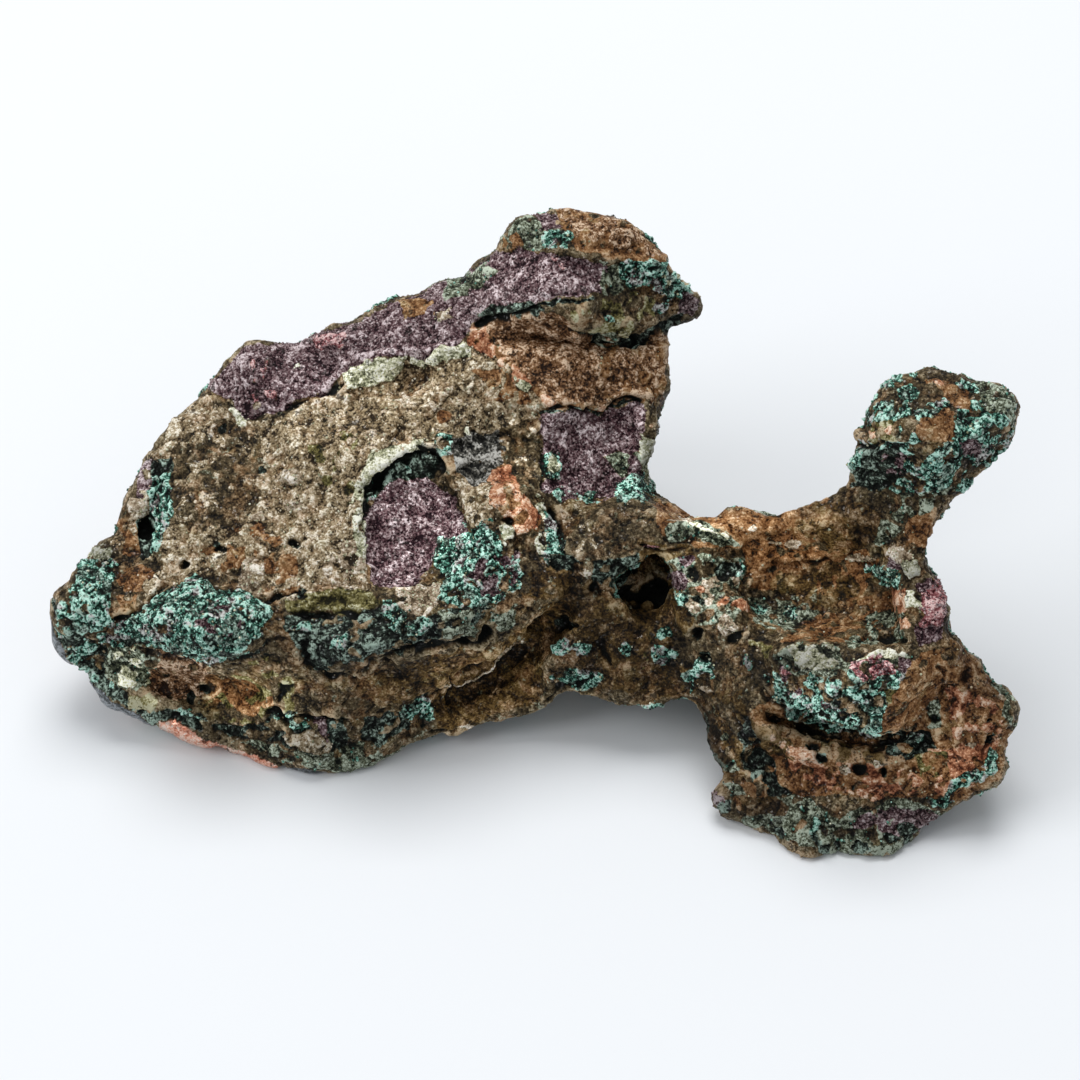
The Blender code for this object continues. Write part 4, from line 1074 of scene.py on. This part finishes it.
looks = {
    "sandstone": ((0.22, (0.024, 0.011, 0.004)), (0.40, (0.15, 0.082, 0.034)), (0.54, (0.34, 0.205, 0.105)), (0.68, (0.54, 0.37, 0.22)), (0.84, (0.84, 0.70, 0.52))),
    "brown": ((0.22, (0.003, 0.002, 0.001)), (0.40, (0.034, 0.023, 0.010)), (0.54, (0.071, 0.050, 0.024)), (0.68, (0.135, 0.100, 0.052)), (0.88, (0.35, 0.285, 0.18))),
    "umber": ((0.22, (0.002, 0.001, 0.0003)), (0.42, (0.034, 0.018, 0.005)), (0.56, (0.075, 0.042, 0.0105)), (0.70, (0.138, 0.083, 0.026)), (0.88, (0.30, 0.20, 0.085))),
    "sand": ((0.20, (0.018, 0.011, 0.005)), (0.38, (0.17, 0.120, 0.062)), (0.54, (0.34, 0.265, 0.160)), (0.66, (0.52, 0.43, 0.29)), (0.80, (0.92, 0.86, 0.72))),
    "rust": ((0.20, (0.014, 0.005, 0.001)), (0.38, (0.110, 0.043, 0.013)), (0.54, (0.228, 0.110, 0.042)), (0.70, (0.36, 0.20, 0.090)), (0.88, (0.64, 0.45, 0.275))),
    "russet": ((0.20, (0.014, 0.006, 0.003)), (0.38, (0.085, 0.038, 0.015)), (0.53, (0.185, 0.090, 0.038)), (0.68, (0.32, 0.185, 0.098)), (0.86, (0.72, 0.54, 0.38))),
    "slate": ((0.22, (0.003, 0.003, 0.003)), (0.40, (0.035, 0.034, 0.028)), (0.54, (0.092, 0.089, 0.074)), (0.67, (0.20, 0.19, 0.165)), (0.86, (0.52, 0.51, 0.47))),
    "olive": ((0.22, (0.008, 0.007, 0.001)), (0.40, (0.060, 0.050, 0.013)), (0.56, (0.14, 0.120, 0.038)), (0.72, (0.28, 0.25, 0.11)), (0.86, (0.56, 0.54, 0.36))),
    "greygreen": ((0.22, (0.002, 0.004, 0.002)), (0.40, (0.033, 0.038, 0.022)), (0.54, (0.088, 0.100, 0.062)), (0.67, (0.19, 0.215, 0.148)), (0.86, (0.50, 0.57, 0.45))),
    "dark": ((0.25, (0.001, 0.002, 0.001)), (0.43, (0.010, 0.016, 0.012)), (0.57, (0.040, 0.056, 0.042)), (0.70, (0.12, 0.160, 0.125)), (0.88, (0.38, 0.50, 0.42))),
    "cuprite": ((0.20, (0.008, 0.002, 0.004)), (0.38, (0.072, 0.032, 0.038)), (0.53, (0.170, 0.108, 0.112)), (0.68, (0.33, 0.250, 0.252)), (0.88, (0.66, 0.56, 0.57))),
    "pink": ((0.22, (0.034, 0.006, 0.008)), (0.40, (0.14, 0.034, 0.038)), (0.54, (0.26, 0.090, 0.095)), (0.68, (0.42, 0.20, 0.20)), (0.88, (0.78, 0.56, 0.54))),
    "malachite": ((0.24, (0.001, 0.003, 0.002)), (0.40, (0.007, 0.026, 0.018)), (0.53, (0.032, 0.115, 0.080)), (0.64, (0.11, 0.32, 0.235)), (0.80, (0.56, 0.86, 0.74))),
    "calcite": ((0.20, (0.050, 0.052, 0.026)), (0.40, (0.25, 0.255, 0.150)), (0.56, (0.48, 0.480, 0.310)), (0.70, (0.70, 0.69, 0.52)), (0.86, (0.92, 0.92, 0.80))),
    "quartz": ((0.20, (0.050, 0.032, 0.016)), (0.40, (0.19, 0.135, 0.082)), (0.55, (0.33, 0.255, 0.170)), (0.70, (0.52, 0.43, 0.32)), (0.88, (0.86, 0.80, 0.70))),
    "coral": ((0.20, (0.060, 0.015, 0.006)), (0.40, (0.23, 0.078, 0.034)), (0.55, (0.40, 0.170, 0.086)), (0.70, (0.60, 0.32, 0.18)), (0.88, (0.86, 0.66, 0.50))),
    "copper": ((0.20, (0.14, 0.036, 0.018)), (0.42, (0.50, 0.175, 0.105)), (0.56, (0.78, 0.34, 0.23)), (0.72, (0.92, 0.51, 0.37)), (0.88, (0.98, 0.78, 0.66))),
    "polish": ((0.20, (0.010, 0.011, 0.010)), (0.42, (0.030, 0.032, 0.032)), (0.56, (0.055, 0.060, 0.062)), (0.72, (0.10, 0.11, 0.115)), (0.88, (0.28, 0.30, 0.32))),
}


def startMaterial(name):
    material = bpy.data.materials.new(name)
    material.use_nodes = True
    tree = material.node_tree
    tree.nodes.clear()
    shader = tree.nodes.new("ShaderNodeBsdfPrincipled")
    output = tree.nodes.new("ShaderNodeOutputMaterial")
    tree.links.new(shader.outputs["BSDF"], output.inputs["Surface"])
    return material, tree, shader


def addSpeckle(tree, group):
    place = addNode(tree, "ShaderNodeTexCoord")
    node = addNode(tree, "ShaderNodeGroup", node_tree=group)
    tree.links.new(place.outputs["Object"], node.inputs["Vector"])
    return node.outputs


def crustMaterial(group):
    material, tree, shader = startMaterial("mineralCrust")
    speckle = addSpeckle(tree, group)
    fine, coarse, patch, cell, facet = (speckle[name] for name in ("Fine", "Coarse", "Patch", "Cell", "Facet"))
    fleck, blotch = speckle["Fleck"], speckle["Blotch"]
    sparkle = scaled(tree, fine, 1.1, -0.55)
    sparkle = sumOf(tree, sparkle, scaled(tree, coarse, 1.7, -0.85))
    sparkle = sumOf(tree, sparkle, scaled(tree, patch, 0.5, -0.25))
    sparkle = sumOf(tree, sparkle, scaled(tree, cell, 0.42, 0.29))
    softer = scaled(tree, fine, 0.9, -0.45)
    softer = sumOf(tree, softer, scaled(tree, coarse, 1.3, -0.65))
    softer = sumOf(tree, softer, scaled(tree, patch, 0.9, -0.45))
    softer = sumOf(tree, softer, scaled(tree, cell, 0.28, 0.36))
    plain = scaled(tree, fine, 0.9, -0.45)
    plain = sumOf(tree, plain, scaled(tree, coarse, 0.8, -0.40))
    plain = sumOf(tree, plain, scaled(tree, patch, 0.7, -0.35))
    plain = sumOf(tree, plain, scaled(tree, cell, 0.26, 0.38))
    cavity = addNode(tree, "ShaderNodeAttribute", attribute_name="cavity").outputs["Fac"]
    crack = addNode(tree, "ShaderNodeAttribute", attribute_name="crack").outputs["Fac"]
    # painted shade and light: the cavity value darkens hollows and lightens edges and crests
    paintedShadeAndEdgeLight = scaled(tree, cavity, -0.55, 0.275)
    sparkle = sumOf(tree, sparkle, paintedShadeAndEdgeLight)
    softer = sumOf(tree, softer, paintedShadeAndEdgeLight)
    plain = sumOf(tree, plain, paintedShadeAndEdgeLight)
    ragged = scaled(tree, coarse, 0.9, -0.45)
    ragged = sumOf(tree, ragged, scaled(tree, fine, 0.6, -0.30))
    color = rampOf(tree, plain, looks["brown"])
    masks = {}
    lively = ("russet", "slate", "greygreen", "dark", "cuprite", "pink", "malachite", "calcite")
    for name in minerals:
        share = addNode(tree, "ShaderNodeAttribute", attribute_name=name).outputs["Fac"]
        masks[name] = ranged(tree, sumOf(tree, share, ragged), 0.42, 0.58)
        value = sparkle if name in lively else plain if name in ("umber", "rust") else softer
        color = mixed(tree, masks[name], color, rampOf(tree, value, looks[name]))
        if name == "sand":
            stain = ranged(tree, sumOf(tree, blotch, scaled(tree, coarse, 0.4, -0.2)), 0.54, 0.66, 0.0, 0.6)
            color = mixed(tree, stain, color, rampOf(tree, softer, looks["sandstone"]))
        if name == "rust":
            stain = ranged(tree, blotch, 0.54, 0.68, 0.0, 0.6)
            color = mixed(tree, stain, color, rampOf(tree, plain, looks["umber"]))
            warm = ranged(tree, sumOf(tree, patch, scaled(tree, coarse, 0.4, -0.2)), 0.53, 0.64, 0.0, 0.55)
            color = mixed(tree, warm, color, rampOf(tree, plain, looks["rust"]))
            pale = ranged(tree, sumOf(tree, patch, scaled(tree, blotch, -0.9, 0.45)), 0.60, 0.70, 0.0, 0.3)
            color = mixed(tree, pale, color, rampOf(tree, softer, looks["olive"]))
            green = ranged(tree, sumOf(tree, fleck, scaled(tree, fine, 0.3, -0.15)), 0.66, 0.70, 0.0, 0.6)
            color = mixed(tree, green, color, rampOf(tree, sparkle, looks["greygreen"]))
        if name == "malachite":
            veil = ranged(tree, sumOf(tree, blotch, scaled(tree, coarse, 0.5, -0.25)), 0.56, 0.62, 0.0, 0.75)
            veil = sumOf(tree, veil, masks[name], "MULTIPLY")
            color = mixed(tree, veil, color, rampOf(tree, sparkle, looks["cuprite"]))
            veil = ranged(tree, sumOf(tree, blotch, scaled(tree, fleck, 0.5, -0.25)), 0.40, 0.46, 0.85, 0.0)
            veil = sumOf(tree, veil, masks[name], "MULTIPLY")
            color = mixed(tree, veil, color, rampOf(tree, sparkle, looks["dark"]))
    shadow = ranged(tree, sumOf(tree, fleck, scaled(tree, fine, 0.6, -0.3)), 0.32, 0.37, 0.75, 0.0)
    color = mixed(tree, shadow, color, (0.010, 0.009, 0.007, 1.0))
    # painted shade: cracks and pits darkened to near black by their depth
    deep = ranged(tree, sumOf(tree, crack, scaled(tree, coarse, 0.5, -0.25)), 0.35, 0.75)
    color = mixed(tree, deep, color, (0.004, 0.005, 0.004, 1.0))
    # painted light and shade, partly regional tone, scales the colour
    paintedLightAndTone = addNode(tree, "ShaderNodeAttribute", attribute_name="paintedLightAndTone").outputs["Fac"]
    color = addNode(tree, "ShaderNodeVectorMath", {0: color, "Scale": paintedLightAndTone}, operation="SCALE").outputs[0]
    tree.links.new(color, shader.inputs["Base Color"])
    metal = sumOf(tree, masks["copper"], scaled(tree, masks["polish"], 0.30), "MAXIMUM")
    tree.links.new(metal, shader.inputs["Metallic"])
    rough = ranged(tree, sumOf(tree, masks["copper"], masks["polish"], "MAXIMUM"), 0.0, 1.0, 0.62, 0.36)
    rough = sumOf(tree, rough, scaled(tree, cell, -0.22, 0.11))
    tree.links.new(rough, shader.inputs["Roughness"])
    shader.inputs["Specular IOR Level"].default_value = 0.14
    shader.inputs["Coat Roughness"].default_value = 0.18
    tree.links.new(ranged(tree, cell, 0.90, 0.94, 0.0, 0.7), shader.inputs["Coat Weight"])
    height = sumOf(tree, scaled(tree, fine, 0.40), scaled(tree, coarse, 0.9))
    height = sumOf(tree, height, scaled(tree, cell, 0.09))
    calm = ranged(tree, sumOf(tree, masks["copper"], masks["polish"], "MAXIMUM"), 0.0, 1.0, 1.0, 0.2)
    height = sumOf(tree, height, calm, "MULTIPLY")
    bump = addNode(tree, "ShaderNodeBump", {"Strength": 1.0, "Distance": 0.00034, "Height": height})
    tree.links.new(bump.outputs["Normal"], shader.inputs["Normal"])
    return material


def grainMaterial(group, name, look, rough):
    material, tree, shader = startMaterial(name)
    speckle = addSpeckle(tree, group)
    tone = addNode(tree, "ShaderNodeAttribute", attribute_name="tone").outputs["Fac"]
    value = scaled(tree, tone, 0.42, 0.30)
    value = sumOf(tree, value, scaled(tree, speckle["Fine"], 0.7, -0.35))
    tree.links.new(rampOf(tree, value, looks[look]), shader.inputs["Base Color"])
    level = scaled(tree, tone, 0.25, rough)
    tree.links.new(level, shader.inputs["Roughness"])
    shader.inputs["Specular IOR Level"].default_value = 0.30
    bump = addNode(tree, "ShaderNodeBump", {"Strength": 0.6, "Distance": 0.0001, "Height": speckle["Fine"]})
    tree.links.new(bump.outputs["Normal"], shader.inputs["Normal"])
    return material


# ---- floor and light

studio = {
    "floorSide": 3.0,
    "floorColor": (0.80, 0.823, 0.847),
    "world": (0.95, 0.97, 1.0),
    "worldStrength": 0.42,
    "lamps": (
        ("overheadSoftbox", (0.0, 0.48, 1.12), 0.75, 10.2),
        ("sideSoftbox", (-1.0, -0.20, 0.80), 0.80, 6.4),
    ),
}


def addStudio():
    bpy.ops.object.select_all(action="DESELECT")
    bpy.ops.mesh.primitive_plane_add(size=studio["floorSide"])
    floor = bpy.context.active_object
    floor.name = "studioFloor"
    material, tree, shader = startMaterial("paleFloor")
    place = addNode(tree, "ShaderNodeTexCoord")
    cloud = addNode(tree, "ShaderNodeTexNoise", {"Vector": place.outputs["Object"], "Scale": 6.0, "Detail": 2.0})
    low = tuple(0.985 * value for value in studio["floorColor"])
    color = mixed(tree, cloud.outputs["Fac"], (*low, 1.0), (*studio["floorColor"], 1.0))
    tree.links.new(color, shader.inputs["Base Color"])
    shader.inputs["Roughness"].default_value = 0.6
    shader.inputs["Specular IOR Level"].default_value = 0.2
    floor.data.materials.append(material)
    world = bpy.data.worlds.new("softRoom")
    world.use_nodes = True
    back = world.node_tree.nodes["Background"]
    back.inputs["Color"].default_value = (*studio["world"], 1.0)
    back.inputs["Strength"].default_value = studio["worldStrength"]
    bpy.context.scene.world = world
    for name, place, side, power in studio["lamps"]:
        bpy.ops.object.light_add(type="AREA", location=place)
        lamp = bpy.context.active_object
        lamp.name = name
        lamp.data.shape = "SQUARE"
        lamp.data.size = side
        lamp.data.energy = power
        aim = Vector(view["target"]) - Vector(place)
        lamp.rotation_euler = aim.to_track_quat("-Z", "Y").to_euler()
    bpy.context.scene.view_settings.view_transform = "Standard"


# ---- build

clearStartup()
addCamera()
whole = makeCrust()
whole.data.calc_loop_triangles()
share = {name: valuesOf(whole.data, name) for name in minerals}
speckleGroup = makeSpeckleGroup()
crustLook = crustMaterial(speckleGroup)
for name, side in crust["halves"]:
    half = cutHalf(whole, name, side)
    half.data.materials.append(crustLook)
    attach(half, "root")
    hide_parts("copper_nugget")
finishes = {
    "malachiteDruse": ("malachiteGrain", "malachite", 0.35),
    "cupriteCrystals": ("cupriteCrystal", "cuprite", 0.25),
    "sandGrains": ("sandGrain", "sand", 0.55),
    "paleGrains": ("paleGrain", "calcite", 0.40),
}
for name, (materialName, look, rough) in finishes.items():
    piece = scatterGrains(name, whole, share)
    piece.data.materials.append(grainMaterial(speckleGroup, materialName, look, rough))
    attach(piece, "root")
bpy.data.objects.remove(whole)
addStudio()
print("scene built")
